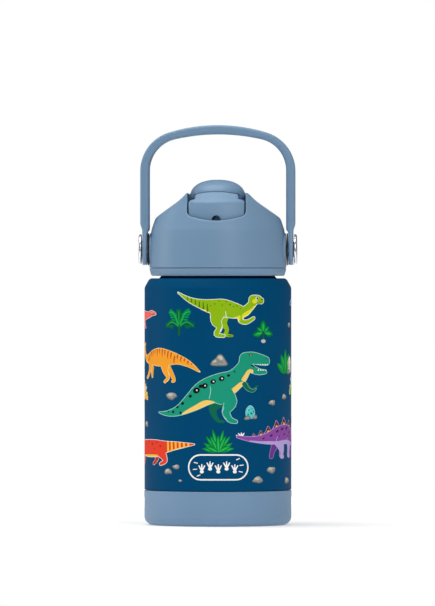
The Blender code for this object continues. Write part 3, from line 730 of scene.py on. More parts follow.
def refinish_small_parts():
    """Small pieces keep their CAD shape and get their finish."""
    finishes = {STEEL: ("base_plate", "vacuum_seal_bead", "getter_cup"), SEAL: ("port_seal", "vent_valve"),
                POLISHED: ("spout_pin_left", "spout_pin_right"),
                BRASS: ("pivot_insert_left", "pivot_insert_right")}
    for material, nodes in finishes.items():
        for node in nodes:
            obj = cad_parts[node]
            for slot in range(len(obj.material_slots)):
                obj.material_slots[slot].material = material


# ---------------------------------------------------------------- printed creatures

def through(points, steps, closed):
    """Points on a smooth curve through the given ones. They may carry a third value, a radius."""
    pts = [np.array(p, float) for p in points]
    count = len(pts)
    result = []
    for i in range(count if closed else count - 1):
        if closed:
            a, b, c, d = (pts[(i + k) % count] for k in (-1, 0, 1, 2))
        else:
            a, b, c, d = pts[max(i - 1, 0)], pts[i], pts[i + 1], pts[min(i + 2, count - 1)]
        for step in range(steps):
            t = step / steps
            result.append(0.5 * (2 * b + (c - a) * t + (2 * a - 5 * b + 4 * c - d) * t**2
                + (3 * b - a - 3 * c + d) * t**3))
    if not closed:
        result.append(pts[-1])
    return result


def limb(*points, steps=4):
    """A tapering stroke through (x, y, radius) points. Returns a function of how much it is grown."""
    def outline(grow=0.0):
        line = through(points, steps, False)
        left, right = [], []
        for i, (x, y, r) in enumerate(line):
            ahead, behind = line[min(i + 1, len(line) - 1)], line[max(i - 1, 0)]
            heading = math.atan2(ahead[1] - behind[1], ahead[0] - behind[0])
            r = max(r, 0.12) + grow
            left.append((x - r * math.sin(heading), y + r * math.cos(heading)))
            right.append((x + r * math.sin(heading), y - r * math.cos(heading)))
            if i == 0:
                start_heading = heading
        end_r, start_r = max(line[-1][2], 0.12) + grow, max(line[0][2], 0.12) + grow
        turn = math.degrees(heading)
        end_cap = arc(line[-1][:2], end_r, turn + 90, turn - 90, 6)[1:-1]
        turn = math.degrees(start_heading)
        start_cap = arc(line[0][:2], start_r, turn - 90, turn - 270, 6)[1:-1]
        return left + end_cap + right[::-1] + start_cap
    return outline


def patch(*points, steps=4):
    """A closed smooth shape through points. Returns a function of how much it is grown."""
    def outline(grow=0.0):
        line = through(points, steps, True)
        if not grow:
            return [tuple(p) for p in line]
        turn = sum(a[0] * b[1] - b[0] * a[1] for a, b in zip(line, line[1:] + line[:1]))
        sign = 1 if turn > 0 else -1
        grown = []
        for i, p in enumerate(line):
            along = line[(i + 1) % len(line)] - line[i - 1]
            along = along / max(np.linalg.norm(along), 1e-9) * sign
            grown.append((p[0] + along[1] * grow, p[1] - along[0] * grow))
        return grown
    return outline


def sharp(*points):
    """A closed shape with straight sides."""
    return lambda grow=0.0: [tuple(p) for p in points]


def oval(x, y, wide, high, turn=0.0):
    """An ellipse given by its middle, half sizes and turn in degrees."""
    c, s = math.cos(math.radians(turn)), math.sin(math.radians(turn))

    def outline(grow=0.0):
        ring = arc((0, 0), 1, 0, 345, 23)
        return [(x + (wide + grow) * u * c - (high + grow) * v * s, y + (wide + grow) * u * s + (high + grow)
            * v * c) for u, v in ring]
    return outline


def leaf(x, y, angle, length, width):
    """A pointed leaf that starts at (x, y)."""
    c, s = math.cos(math.radians(angle)), math.sin(math.radians(angle))
    shape = [(0, 0.15), (0.3, 0.8), (0.6, 0.85), (1.0, 0.02), (0.6, -0.75), (0.3, -0.7), (0, -0.15)]
    turned_points = [(x + u * length * c - v * width / 2 * s, y + u * length * s + v * width / 2 * c) for u,
        v in shape]
    return patch(*turned_points, steps=3)


class Drawing:
    """A flat picture made of layers. A detail shows only on the group of shapes drawn just before it,
    and a layer with no colour takes away what is under it."""

    def __init__(self):
        self.layers = []
        self.group = 0

    def put(self, kind, colour, shapes, grow=0.0):
        self.layers += [(kind, self.group, colour, shape(grow)) for shape in shapes]
        return self

    def add(self, colour, *shapes):
        """A new group of shapes in one colour."""
        self.group += 1
        return self.put("skin", colour, shapes)

    def detail(self, colour, *shapes):
        return self.put("detail", colour, shapes)

    def spots(self, colour, places, wide, high, turn=0.0):
        """Oval details at (x, y, size) places, with the width and height of a spot of size 1."""
        return self.detail(colour, *[oval(x, y, r * wide, r * high, turn) for x, y, r in places])

    def eye(self, x, y, size):
        self.detail("white", oval(x, y, size, size))
        return self.detail("black", oval(x + size * 0.2, y, size * 0.62, size * 0.7))

    def skin(self, colour, edge, *shapes, border=0.28):
        """A new group of shapes in one colour, with a border round all of them together."""
        self.put("edge", edge, shapes, border)
        return self.add(colour, *shapes)


def inside_outline(points, outline):
    """Which of the points have a winding number round the outline."""
    x, y = points[:, 0], points[:, 1]
    winding = np.zeros(len(points), int)
    for (ax, ay), (bx, by) in zip(outline, outline[1:] + outline[:1]):
        side = (bx - ax) * (y - ay) - (x - ax) * (by - ay)
        winding += ((ay <= y) & (by > y) & (side > 0)).astype(int)
        winding -= ((ay > y) & (by <= y) & (side < 0)).astype(int)
    return winding != 0


def print_on_flask(name, drawing, angle, height, wide=1.0, high=None, flip=False):
    """Wraps a drawing round the flask as a thin film of ink. The angle is in degrees from the front of
    the print, positive to the right; wide and high are the drawing's scales."""
    high = wide if high is None else high
    mirror = -1 if flip else 1
    layers = []
    for kind, group, colour, outline in drawing.layers:
        layers.append((kind, group, colour, [(x * mirror * wide, y * high) for x, y in outline]))
    points, edges = [], []
    for *_, outline in layers:
        first = len(points)
        points += [Vector(p) for p in outline]
        edges += [(first + i, first + (i + 1) % len(outline)) for i in range(len(outline))]
    low_x, high_x = min(p.x for p in points), max(p.x for p in points)
    low_y, high_y = min(p.y for p in points), max(p.y for p in points)
    column = low_x
    while column < high_x:  # upright grid lines let the film follow the round wall
        points += [Vector((column, low_y - 1)), Vector((column, high_y + 1))]
        edges.append((len(points) - 2, len(points) - 1))
        column += 1.3
    corners, _, faces, _, _, _ = geometry.delaunay_2d_cdt(points, edges, [], 0, 1e-5)
    corners = np.array([tuple(v) for v in corners])
    faces = np.array([f for f in faces if len(f) == 3])
    middles = corners[faces].mean(axis=1)
    shown = np.full(len(faces), -1)
    region, current = np.zeros(len(faces), bool), 0
    colours = list(dict.fromkeys(colour for _, _, colour, _ in layers if colour))
    for kind, group, colour, outline in layers:
        hit = inside_outline(middles, outline)
        if kind == "skin":
            region = hit if group != current else region | hit
            current = group
        elif kind == "detail":
            hit = hit & region
        shown[hit] = colours.index(colour) if colour else -1
    kept = np.nonzero(shown >= 0)[0]
    used, flat = np.unique(faces[kept], return_inverse=True)
    faces, corners = flat.reshape(-1, 3), corners[used]
    around = math.radians(angle + PRINT_TURN) + corners[:, 0] / BODY_R
    z = height + corners[:, 1]
    film = (BODY_R + 0.01, BODY_R + 0.05)
    rings = [np.stack([r * np.sin(around), -r * np.cos(around), z], axis=1) for r in film]
    count = len(corners)
    first, second, third = (corners[faces[:, k]] for k in range(3))
    turned_over = np.cross(second - first, third - first) <= 0
    faces[turned_over] = faces[turned_over][:, ::-1]
    sides = dict.fromkeys((face[k], face[(k + 1) % 3]) for face in faces for k in range(3))
    rim = [(a, b) for a, b in sides if (b, a) not in sides]
    all_faces = [tuple(f + count) for f in faces] + [tuple(f[::-1]) for f in faces]
    all_faces += [(a, b, b + count, a + count) for a, b in rim]
    mesh = bpy.data.meshes.new(name)
    mesh.from_pydata((np.concatenate(rings) * MM).tolist(), [], [tuple(map(int, f)) for f in all_faces])
    slots = list(shown[kept]) * 2 + [0] * len(rim)
    mesh.polygons.foreach_set("material_index", np.array(slots, np.int32))
    mesh.shade_smooth()
    mesh.set_sharp_from_angle(angle=math.radians(40))
    add_piece("print_" + name, mesh, "bottle", "flask_coat", [ink(colour) for colour in colours])


def runner(skin, edge, belly, mark):
    """Two-legged plant eater with a long raised tail, facing right."""
    d = Drawing()
    far_leg = limb((1.6, -0.5, 2.6), (1.4, -4.6, 1.6), (3, -7.8, 1), (2.4, -10.4, 0.9), (5.8, -11, 0.5))
    d.skin(skin, mark, far_leg, border=0.15)
    d.detail(mark, limb((3.8, -10.9, 0.35), (6, -11.1, 0.2)))
    spine = limb((-23, 11, 0.2), (-17, 7.6, 1.1), (-11, 5.4, 2.1), (-5, 4, 3.4), (1, 3.2, 4.3), (7, 1.8, 3.8),
        (12, 1.4, 2.6), (15, 3.6, 2.1), (17.4, 6.2, 2.1))
    head = limb((17, 7.2, 2.4), (19.8, 7.4, 2.1), (22, 6.8, 1.5))
    leg = limb((-1.6, 1.2, 3.8), (-2.4, -3.4, 2.6), (-0.8, -6.8, 1.4), (-2.4, -10.2, 1.1), (1.4, -11, 0.7))
    arm = limb((10.6, -0.2, 1.6), (10.2, -3.2, 1.2), (13.4, -4, 1), (17.4, -2, 0.7))
    d.skin(skin, edge, spine, head, leg, arm)
    d.detail(belly, patch((-13, 1.5), (-8, 2.4), (-4.6, -0.6), (-4.8, -4.2), (-9, -1)))
    d.detail(belly, patch((2.4, -3.4), (8.2, -1.2), (10, -0.6), (9.2, -4), (2.8, -5)))
    d.detail(belly, patch((11, -0.2), (15.6, 2.6), (18.2, 4.4), (19, 2), (12, -3)))
    d.detail(belly, oval(18, 6.6, 1.5, 1.2, 10))
    d.detail(skin, leg)
    d.detail(edge, limb((2.3, 1.4, 0.14), (2.5, -2.2, 0.16), (1, -5.4, 0.16), (-0.4, -8.6, 0.2)))
    for step in range(6):
        x = -17.5 + 2.1 * step
        top = 8.6 - 0.75 * step
        d.detail(mark, limb((x, top + 0.3, 0.2), (x + 0.1, top - 1.3 - 0.36 * step, 0.34 + 0.04 * step)))
    d.spots(mark, ((-3.2, 5.2, 0.35), (-1, 6.6, 0.3), (0.6, 4.6, 0.32), (2.6, 6.4, 0.35), (4.6, 4.9, 0.4),
        (6.4, 3.9, 0.3), (8.2, 4.2, 0.34), (10.2, 2.9, 0.3), (-5.4, 4.2, 0.3)), 1, 1.1)
    d.eye(19.4, 8, 0.85)
    d.detail("black", oval(22.4, 7.4, 0.4, 0.34), limb((19.4, 5.5, 0.14), (22.6, 5.7, 0.16)))
    return d


def hunter(skin, edge, belly, mark, shade):
    """Big two-legged meat eater with its mouth open, facing right."""
    d = Drawing()
    far_leg = limb((2.4, -7, 3.2), (-1.2, -10.6, 2.2), (-0.6, -14.4, 1.4), (1.2, -17.2, 1), (3.8, -17.8, 0.7))
    far_arm = limb((15.4, 1.6, 1.3), (18.4, -1.4, 0.9), (21.6, 0.6, 0.6))
    d.add(shade, far_leg, far_arm)
    spine = limb((-32.5, -13.2, 0.2), (-26, -13.6, 1.3), (-19, -12, 2.6), (-12, -7.8, 4.6), (-4.8, -2.6, 6.4),
        (3.4, 0.8, 6.7), (10, 4.6, 5), (14.2, 10, 3.8), (15.4, 13.6, 3.4))
    jaw = limb((15.4, 12.4, 2.9), (18.4, 9.6, 2), (22.6, 8.1, 1.5), (26.4, 8, 1))
    skull = limb((15.2, 14.8, 3.3), (19, 15.2, 3), (23.6, 14.3, 2.7), (27.2, 13.6, 2.2))
    leg = limb((3.4, -3.6, 5.6), (7.2, -7.6, 3.4), (5.2, -12.6, 1.9), (7, -16.6, 1.4), (10, -17.8, 0.9))
    d.skin(skin, edge, spine, jaw, skull, leg)
    d.detail(belly, patch((-17.5, -14), (-10.5, -9.4), (-4.6, -6.6), (1.6, -8.6), (-3.8, -11.2), (-10, -14)))
    d.detail(belly, patch((7.4, -2), (10.4, 1.2), (12.8, 2.8), (16, 2.4), (14.5, -4), (9, -7)))
    d.detail(belly, patch((13, 3.6), (14.4, 6.4), (16.6, 9.2), (19.4, 8.6), (17, 3.4)))
    d.detail(skin, leg)
    d.detail("black", patch((17.8, 11.4), (22.6, 11.7), (28.2, 11.2), (27, 8.8), (22.6, 9.7)))
    for step in range(5):
        x = 21.4 + 1.5 * step
        d.detail("white", sharp((x, 12.1), (x + 1.1, 12), (x + 0.55, 10.6 - 0.1 * (step % 2))))
    for step in range(4):
        x = 21.8 + 1.4 * step
        d.detail("white", sharp((x, 8.7), (x + 1, 8.6), (x + 0.5, 9.8)))
    for x, y, r in ((-25.5, -12.6, 0.5), (-22.6, -12.8, 0.8), (-20, -10.2, 0.8), (-18.2, -13.2, 0.7),
            (-17, -8.4, 0.9), (-12.8, -4.6, 0.9), (-9.6, -1.6, 1.8), (-5.4, 0.8, 1.6), (-1.2, 3, 1.4),
            (3, 4.6, 1.5), (-7.4, 0.6, 1.1), (6.4, 6.2, 0.8), (9.4, 8.2, 0.5)):
        d.detail(mark, oval(x, y, r, r * 0.85, 30))
        if r > 1.1:
            d.detail("white", oval(x + 0.2, y + 0.1, 0.42, 0.42))
    d.detail(edge, limb((-3.2, -6, 0.12), (-2.4, -1.8, 0.16), (-2.8, 0.6, 0.1)))
    d.detail(edge, limb((1.4, -9, 0.12), (4, -10.2, 0.16), (3.2, -13.6, 0.16), (5.4, -16.6, 0.16)))
    d.detail("black", oval(17.8, 16.9, 1, 0.5, 8), oval(27.4, 14.8, 0.3, 0.25))
    d.detail("gold", oval(17.9, 16.8, 0.4, 0.28, 8))
    near_arm = limb((14.6, 1.6, 1.3), (16.4, -0.8, 0.9), (19, -1.8, 0.7), (20.8, -0.8, 0.35))
    return d.skin(shade, edge, near_arm, border=0.12)


def duckbill(skin, edge, belly, mark):
    """Plant eater on four legs with a curved back and a striped skin, facing left."""
    d = Drawing()
    d.skin(skin, edge, limb((3.4, -2.4, 1.9), (5.8, -5.6, 1.2), (7.6, -9.6, 0.8), (6.6, -10.4, 0.6)),
        limb((-9.2, -2.6, 1.3), (-9.4, -6, 0.9), (-9.2, -7.6, 0.7)), border=0.2)
    spine = limb((-24.8, 8.8, 1), (-22.4, 8.6, 1.5), (-20.4, 6, 1.3), (-18.4, 3.8, 1.5), (-14.4, 2.6, 2.4),
        (-8.6, 3.4, 4.2), (-2.4, 3.8, 5.2), (4.2, 3.4, 4.2), (10.4, 2.4, 2.6), (16.4, -0.4, 1.5),
        (21.6, -4.6, 0.2))
    bill = limb((-23.2, 9.2, 1.5), (-26, 8.2, 0.9), (-27.8, 7.8, 0.7))
    crest = limb((-23, 9.6, 1.2), (-19.8, 11.6, 0.6))
    leg = limb((1.4, -0.8, 2.9), (2, -4.6, 1.6), (3.8, -8.2, 0.9), (1.6, -10.6, 0.7))
    arm = limb((-11.2, -0.6, 1.8), (-12, -4, 1), (-14.4, -7.4, 0.7), (-16, -8.4, 0.6))
    d.skin(skin, edge, spine, bill, crest, leg, arm)
    d.detail(belly, patch((-18, 2.4), (-12.4, 0.4), (-8, -1.2), (-1.4, -1.6), (1.2, -3.4), (-6, -4), (-16, -1)))
    d.detail(belly, patch((5, -1.6), (10, 0), (16.6, -2.2), (20.8, -4.8), (14, -4.6), (7, -4)))
    d.detail(skin, leg, arm)
    for step in range(17):
        x = -14 + 2 * step
        top = 9.4 - 0.055 * (x + 2.4) ** 2 if x < 10 else 4.6 - (x - 10) * 0.5
        deep = (5.6 if step % 2 else 3.8) * max(0.3, 1 - abs(x + 1) / 22)
        d.detail(mark, limb((x, top + 0.8, 0.42), (x - 0.5, top - deep * 0.5, 0.36),
            (x - 0.3, top - deep, 0.12)))
    d.eye(-23.2, 9.6, 0.55)
    d.detail(mark, oval(-27, 8.3, 0.25, 0.2))
    return d


def strider(skin, edge, belly, mark, shade):
    """Heavy four-legged plant eater with a striped tail, facing left."""
    d = Drawing()
    d.skin(shade, edge, limb((7, -3.2, 1.9), (6.2, -6.2, 1.2), (4, -8.2, 0.9)),
        limb((-9, -3, 1.9), (-9.4, -6.4, 1.3), (-11, -8, 0.9)), border=0.15)
    spine = limb((-29.5, 3, 1.2), (-26, 3.4, 2.2), (-22, 2, 2.4), (-16, 1.6, 3.4), (-8, 1.2, 4.8), (0, 1, 5.2),
        (7.6, 1.2, 4.9), (14, 2.2, 3.3), (20, 3, 2.2), (26.5, 3.6, 0.9), (29, 3.8, 0.3))
    leg = limb((10, -1.4, 3.2), (12.2, -4.6, 1.8), (12.6, -6.8, 1.2), (9.6, -8.4, 0.9))
    arm = limb((-12.6, -1.2, 2.6), (-13.6, -5, 1.6), (-15.8, -7.8, 1.1))
    d.skin(skin, edge, spine, leg, arm)
    d.detail(belly, patch((-11, -3.6), (0, -2.8), (9.6, -3.2), (6, -6), (-8, -6)))
    d.detail(belly, patch((12.8, -2), (17.6, 0.4), (28, 3), (24, -1), (16, -4)))
    d.detail(skin, leg, arm)
    for step in range(6):
        x = 14.6 + 2.3 * step
        d.detail(belly, limb((x, 6.8 - 0.3 * step, 0.55), (x + 0.2, -0.8 + 0.5 * step, 0.55)))
    d.spots(mark, ((-18, 3.8, 0.5), (-13, 4.4, 0.6), (-9, 4.8, 0.5), (-5.4, 3.6, 0.8), (-1.4, 4.9, 0.6),
        (2.6, 3.6, 0.9), (6.4, 4.6, 0.6), (9.4, 2.4, 0.7), (-2.6, 1.8, 0.5), (4.4, 0.8, 0.5)), 1.3, 0.8, 15)
    d.eye(-26.2, 4.4, 0.7)
    d.detail("black", limb((-30, 2.2, 0.12), (-26.4, 2.4, 0.16)))
    return d


def plated(skin, edge, belly, mark, shade, plate, flame):
    """Plate-backed plant eater with a spiked tail, facing right."""
    d = Drawing()
    places = ((-15.5, 1.4, 2.2), (-11.6, 2.3, 3), (-7.2, 4, 4), (-1.6, 6.8, 4.7), (4.6, 8.4, 5), (10.6, 7, 4.4),
        (15.8, 3.2, 3.2), (19.8, -1, 2.2))
    for x, top, tall in places:
        low, lean = top - 1.3, -0.12 * tall
        for colour, half, rise in ((edge, 0.68, 1.1), (plate, 0.6, 1), (flame, 0.4, 0.42)):
            tip = (x + lean * rise, top + tall * rise)
            d.add(colour, patch((x - tall * half, low), (x - tall * half * 0.6, top + tall * rise * 0.4), tip,
                (x + tall * half * 0.5, top + tall * rise * 0.4), (x + tall * half, low), steps=3))
    d.skin(shade, edge, limb((-3, -4, 2.3), (-4.8, -8, 1.5), (-5.6, -11.4, 1.3)),
        limb((14.2, -3.8, 1.7), (13.6, -7.4, 1.2), (13, -10.8, 1)), border=0.15)
    for angle in (62, 92, 124, 156):
        d.add("white", leaf(-21.6, 1.6, angle, 3, 0.9))
    spine = limb((-23.2, 1.6, 0.7), (-18, 0.2, 1.4), (-12, -0.2, 2.4), (-6, 0.6, 4.1), (0.6, 2.4, 5.7),
        (7.4, 2.6, 6), (13.6, 0.6, 4.4), (18.6, -3, 2.4), (23, -5.2, 1.6), (27, -6.4, 1.2))
    leg = limb((0.6, -2.6, 3.6), (2.2, -7.2, 1.9), (1.8, -10.8, 1.4), (3, -11.6, 1.1))
    arm = limb((10.6, -2.6, 2.6), (10.2, -7, 1.5), (9.6, -10.6, 1.2), (10.8, -11.4, 1))
    d.skin(skin, edge, spine, leg, arm)
    d.detail(belly, patch((-18, -1), (-12, -1.4), (-7, -1.4), (-2, -1.6), (6, -0.8), (12, -1.8), (18, -4.4),
        (8, -8), (-6, -8), (-14, -4)))
    d.detail(belly, limb((1.6, -5.4, 1.5), (2.4, -8.4, 1.3), (2, -11.2, 1.2), (3.2, -11.6, 1)),
        limb((10.6, -5.4, 1.2), (10, -8.6, 1.1), (9.6, -11.2, 1.1), (10.8, -11.4, 0.9)))
    d.spots(mark, ((-10.4, 0.4, 0.7), (-5.6, 2.2, 0.9), (-1.4, 4.8, 1), (2.6, 6.2, 1.1), (7.2, 6.6, 1.2),
        (11.4, 4, 1), (4.6, 2.8, 0.8), (-0.2, 1.4, 0.7), (9.2, 1.4, 0.8)), 1.2, 0.7, 35)
    d.detail(edge, limb((-2.8, -4.2, 0.16), (-1.8, 0.2, 0.22), (-0.4, 1.6, 0.12)),
        limb((7.6, -4.4, 0.16), (8.2, -0.4, 0.22), (9.4, 0.8, 0.12)))
    d.eye(23.6, -4.4, 0.55)
    return d.detail(mark, limb((25.2, -6.8, 0.12), (27.8, -6.6, 0.12)))


def longneck(skin, edge, belly, mark):
    """Long-necked plant eater, facing right."""
    d = Drawing()
    d.skin(mark, edge, limb((-3.4, -4.4, 2), (-3, -8, 1.5), (-3.2, -10.6, 1.4)),
        limb((7.8, -4, 1.7), (8.2, -7.6, 1.3), (8.2, -10.4, 1.3)), border=0.15)
    spine = limb((-27, 1.6, 0.2), (-21, -1.8, 1), (-14.6, -2.2, 2), (-8, -0.6, 3.8), (-1, 0.8, 5),
        (5.6, 0.6, 4.4), (10.6, 2.4, 2.8), (14.2, 6, 1.9), (17.6, 8.8, 1.6), (21.6, 9.8, 1.6))
    head = limb((21, 9.9, 1.9), (24.4, 9.4, 1.5), (26.2, 9, 1.1))
    leg = limb((-6.4, -2.2, 3), (-7.4, -6.6, 1.8), (-7.6, -10.6, 1.6))
    arm = limb((4.2, -2.6, 2.3), (4.2, -7, 1.5), (4.2, -10.6, 1.4))
    d.skin(skin, edge, spine, head, leg, arm)
    d.detail(belly, patch((-4.2, -3.6), (2, -3.8), (9, -1.6), (14.8, 3.6), (19.8, 7.8), (16, 4), (10, -5),
        (-3, -6)))
    d.detail(skin, leg, arm)
    for step in range(9):
        x = -12 + 2.7 * step
        y = 2.6 + 2.6 * math.sin(math.radians(100 * (step + 1) / 6))
        d.detail(mark, oval(x, y, 0.9, 0.55, 20 - 5 * step))
    for step in range(5):
        d.detail(mark, limb((-22.4 + 2.1 * step, -0.2 - 0.1 * step, 0.2), (-22.2 + 2.1 * step, -1.8, 0.2)))
    d.eye(23.2, 10.4, 0.6)
    d.detail(mark, limb((23.6, 8.6, 0.12), (26.6, 8.8, 0.12)), oval(26.2, 9.7, 0.22, 0.18))
    return d


def horned(skin, edge, belly, mark):
    """Stout plant eater with a neck frill and horns, facing right."""
    d = Drawing()
    d.skin(mark, edge, limb((-5.4, -3.6, 1.9), (-5, -6.8, 1.4), (-4.8, -8.4, 1.3)),
        limb((6, -3.6, 1.7), (6.4, -6.8, 1.3), (6.6, -8.4, 1.2)), border=0.15)
    spine = limb((-19, -2.6, 0.2), (-14, -0.8, 1.6), (-8.4, 1.2, 3.8), (-1.6, 2.2, 4.9), (5, 1.4, 4.4),
        (9, 1.2, 3.4))
    frill = patch((6, 5.6), (7.6, 8.4), (10.4, 8.6), (12.2, 6.2), (12.8, 2), (11.2, -2), (8.4, -2.6),
        (6.6, 1.2))
    head = limb((11, 1.6, 3), (15, 0, 2.3), (18.6, -1.8, 1.2))
    leg = limb((-8.2, -1.4, 2.8), (-9, -5, 1.7), (-9.2, -8.4, 1.5))
    arm = limb((3, -2, 2.3), (2.6, -5.4, 1.5), (2.6, -8.4, 1.4))
    d.skin(skin, edge, spine, leg, arm)
    d.detail(belly, patch((-6, -2.6), (2, -2.2), (9, -1.6), (4, -5), (-5, -5)))
    d.detail(skin, leg, arm)
    d.spots(mark, ((-10.5, 2.4, 0.6), (-7, 4.2, 0.8), (-3.2, 5.4, 0.9), (0.8, 5.2, 0.8), (-5, 1.8, 0.6),
        (-0.8, 2.4, 0.7)), 1.2, 0.75, 20)
    d.skin(belly, edge, frill)
    d.detail(mark, *[oval(9.8 + 2.4 * math.cos(a), 3.2 + 4 * math.sin(a), 0.5, 0.5) for a in (0.5, 1.3, 2.1,
        2.9)])
    d.skin(skin, edge, head, border=0.2)
    d.eye(13.6, 1.6, 0.6)
    d.detail(mark, limb((15.4, -2, 0.12), (18.6, -2.4, 0.12)))
    horns = (leaf(12.6, 3.4, 58, 4.4, 1.3), leaf(14.2, 2.8, 40, 4, 1.2), leaf(17.4, 0, 62, 2, 1.1))
    return d.skin("white", edge, *horns, border=0.15)


# ---------------------------------------------------------------- printed plants, stones, eggs and badge

def fern():
    d = Drawing()
    for angle, length in ((12, 8.4), (48, 8.6), (92, 6.6), (132, 8.2), (168, 8.2)):
        a = math.radians(angle)
        tip = (length * math.cos(a), 2 + length * math.sin(a) - (2.8 if angle in (12, 168) else 0))
        bend = (tip[0] * 0.5, 2.4 + tip[1] * 0.5)
        colour = "leaf" if angle in (48, 132) else "dark_leaf"
        d.add(colour, limb((0, 0, 0.5), (*bend, 0.8), (*tip, 0.15)))
        for share in (0.35, 0.5, 0.65, 0.8, 0.92):
            x, y = (b * 2 * share * (1 - share) + t * share**2 for b, t in zip(bend, tip))
            for turn in (48, -48):
                tilt = angle + turn - 15 * math.cos(a) * share
                d.add(colour, leaf(x, y, tilt, 3 * (1.15 - share) + 0.8, 1.1))
        d.add("bright_leaf", limb((0, 0.4, 0.12), (*bend, 0.18), (tip[0] * 0.95, tip[1] * 0.95, 0.08)))
    d.add("forest", limb((0, -3.2, 0.8), (0.1, 0.4, 0.6)))
    return d


def blades(drawing, angles, lengths, dark, middle, bright):
    """Pointed leaves in three shades. Each shade is (x, y, turn, share of the length, width)."""
    for angle, length in zip(angles, lengths):
        for colour, (x, y, turn, share, width) in zip(("dark_leaf", "leaf", "bright_leaf"),
                (dark, middle, bright)):
            drawing.add(colour, leaf(x, y, angle + turn, length * share, width))
    return drawing


def sprout():
    d = Drawing()
    for angle, length, width in ((90, 4.8, 4.2), (35, 3.6, 2.6), (145, 3.6, 2.6), (-10, 5.2, 3.6),
            (190, 5.2, 3.6)):
        a = math.radians(angle)
        x, y = 0.7 * math.cos(a), 0.7 * math.sin(a)
        blades(d, [angle], [length], (x, y, 0, 1, width), (x, y, 3, 0.86, width * 0.62),
            (x, y, 0, 0.7, width * 0.2))
    d.add("forest", limb((0, -3.2, 0.5), (0, 0, 0.5)))
    return d.add("pale_stone", oval(0, -3.8, 1.3, 0.8))


def agave():
    angles = (12, 168, 32, 148, 52, 128, 24, 156, 76, 104, 64, 116, 90)
    lengths = (8.4, 8.4, 8.6, 8.6, 10, 10, 7, 7, 11.4, 11.8, 9, 9, 8.4)
    return blades(Drawing(), angles, lengths, (0, -4.8, 0, 1, 2.7), (0, -4.8, 0, 0.95, 2),
        (0.2, -4.8, 2, 0.84, 0.8))


def tuft():
    """Broad upright leaves."""
    shades = (0, -4.6, 0, 1, 4.2), (0, -4.4, 2, 0.94, 3.5), (0, -4.4, 0, 0.85, 0.8)
    return blades(Drawing(), (150, 25, 118, 62, 90), (8.4, 8.6, 9, 9.4, 10.2), *shades)


def stone(kind):
    """A pebble. The kind shifts its bumps."""
    ring = []
    for step in range(9):
        angle = math.tau * step / 9
        r = 1 + 0.13 * math.sin(2.3 * kind + 3 * angle) + 0.08 * math.cos(5 * angle + kind)
        half_high = 1.9 if math.sin(angle) > 0 else 1.9 * 0.75
        ring.append((3 * r * math.cos(angle), half_high * r * math.sin(angle)))
    d = Drawing().add("dark_stone", patch(*ring))
    d.detail("stone", patch(*[(x * 0.9 - 0.15, y * 0.84 + 0.35) for x, y in ring]))
    d.detail("pale_stone", patch(*[(x * 0.5 - 0.5, y * 0.4 + 0.8) for x, y in ring]))
    return d.detail("dark_stone", oval(1.1, 0.1, 0.35, 0.2), oval(-0.9, -0.5, 0.3, 0.16),
        oval(0.2, 0.9, 0.22, 0.14))


def boulder():
    d = Drawing().add("dark_stone", patch((-4.2, -2.6), (-3.9, -0.4), (-2.2, 0.9), (-0.6, 2.9), (1.2, 2.8),
        (2.8, 0.6), (4.1, -2.2), (1.4, -2.9)))
    d.detail("stone", patch((-3.8, -2.2), (-3.5, -0.4), (-2, 0.6), (-0.6, 2.4), (0.9, 2.4), (2.3, 0.4),
        (3.4, -2), (0.8, -2.4)))
    d.detail("pale_stone", patch((-0.9, 1.6), (0.2, 2.3), (1.2, 1.8), (1.6, 0.6), (0.4, 0.2)),
        patch((-3.3, -1.2), (-2.8, -0.3), (-1.7, 0.2), (-1.8, -0.8)))
    return d.detail("dark_stone", limb((-1.6, 0.6, 0.1), (-0.2, -0.8, 0.2), (1.6, -1, 0.08)),
        limb((-2.8, -1.6, 0.08), (-1, -1.4, 0.15), (-0.4, -2.2, 0.08)))


def egg(shell, spot, shine):
    d = Drawing().skin(shell, shine, patch((0, 4.2), (2.3, 2.4), (3, -0.4), (2.1, -2.9), (0, -3.7),
        (-2.1, -2.9), (-3, -0.4), (-2.3, 2.4)), border=0.25)
    d.detail(spot, oval(-1.2, 1.6, 0.8, 0.6, 20), oval(1.2, 2.2, 0.5, 0.4), oval(0.8, -0.6, 0.9, 0.7, -20),
        oval(-1.4, -1.4, 0.7, 0.6), oval(2.4, 0.6, 0.5, 0.7))
    d.detail(shine, limb((-1.9, 0.2, 0.12), (-1.6, 1.8, 0.25), (-0.8, 2.9, 0.12)))
    d.add("dark_stone", patch((-4.2, -4.2), (-3, -2.4), (-0.8, -2.2), (0.4, -3.6), (-1.6, -4.6)),
        patch((1.4, -3.6), (3.4, -1.4), (4.6, -1.8), (4.8, -3.6), (3, -4.2)))
    d.add("stone", patch((-3.6, -3.9), (-2.8, -2.8), (-1, -2.6), (-0.4, -3.6), (-1.8, -4.1)),
        patch((2, -3.4), (3.4, -2), (4.3, -2.3), (4.3, -3.4)))
    return d


def pill(half_length, radius):
    """Outline of a pill lying down."""
    flat = half_length - radius
    ends = arc((flat, 0), radius, -90, 90, 16) + arc((-flat, 0), radius, 90, 270, 16)
    return lambda grow=0: ends


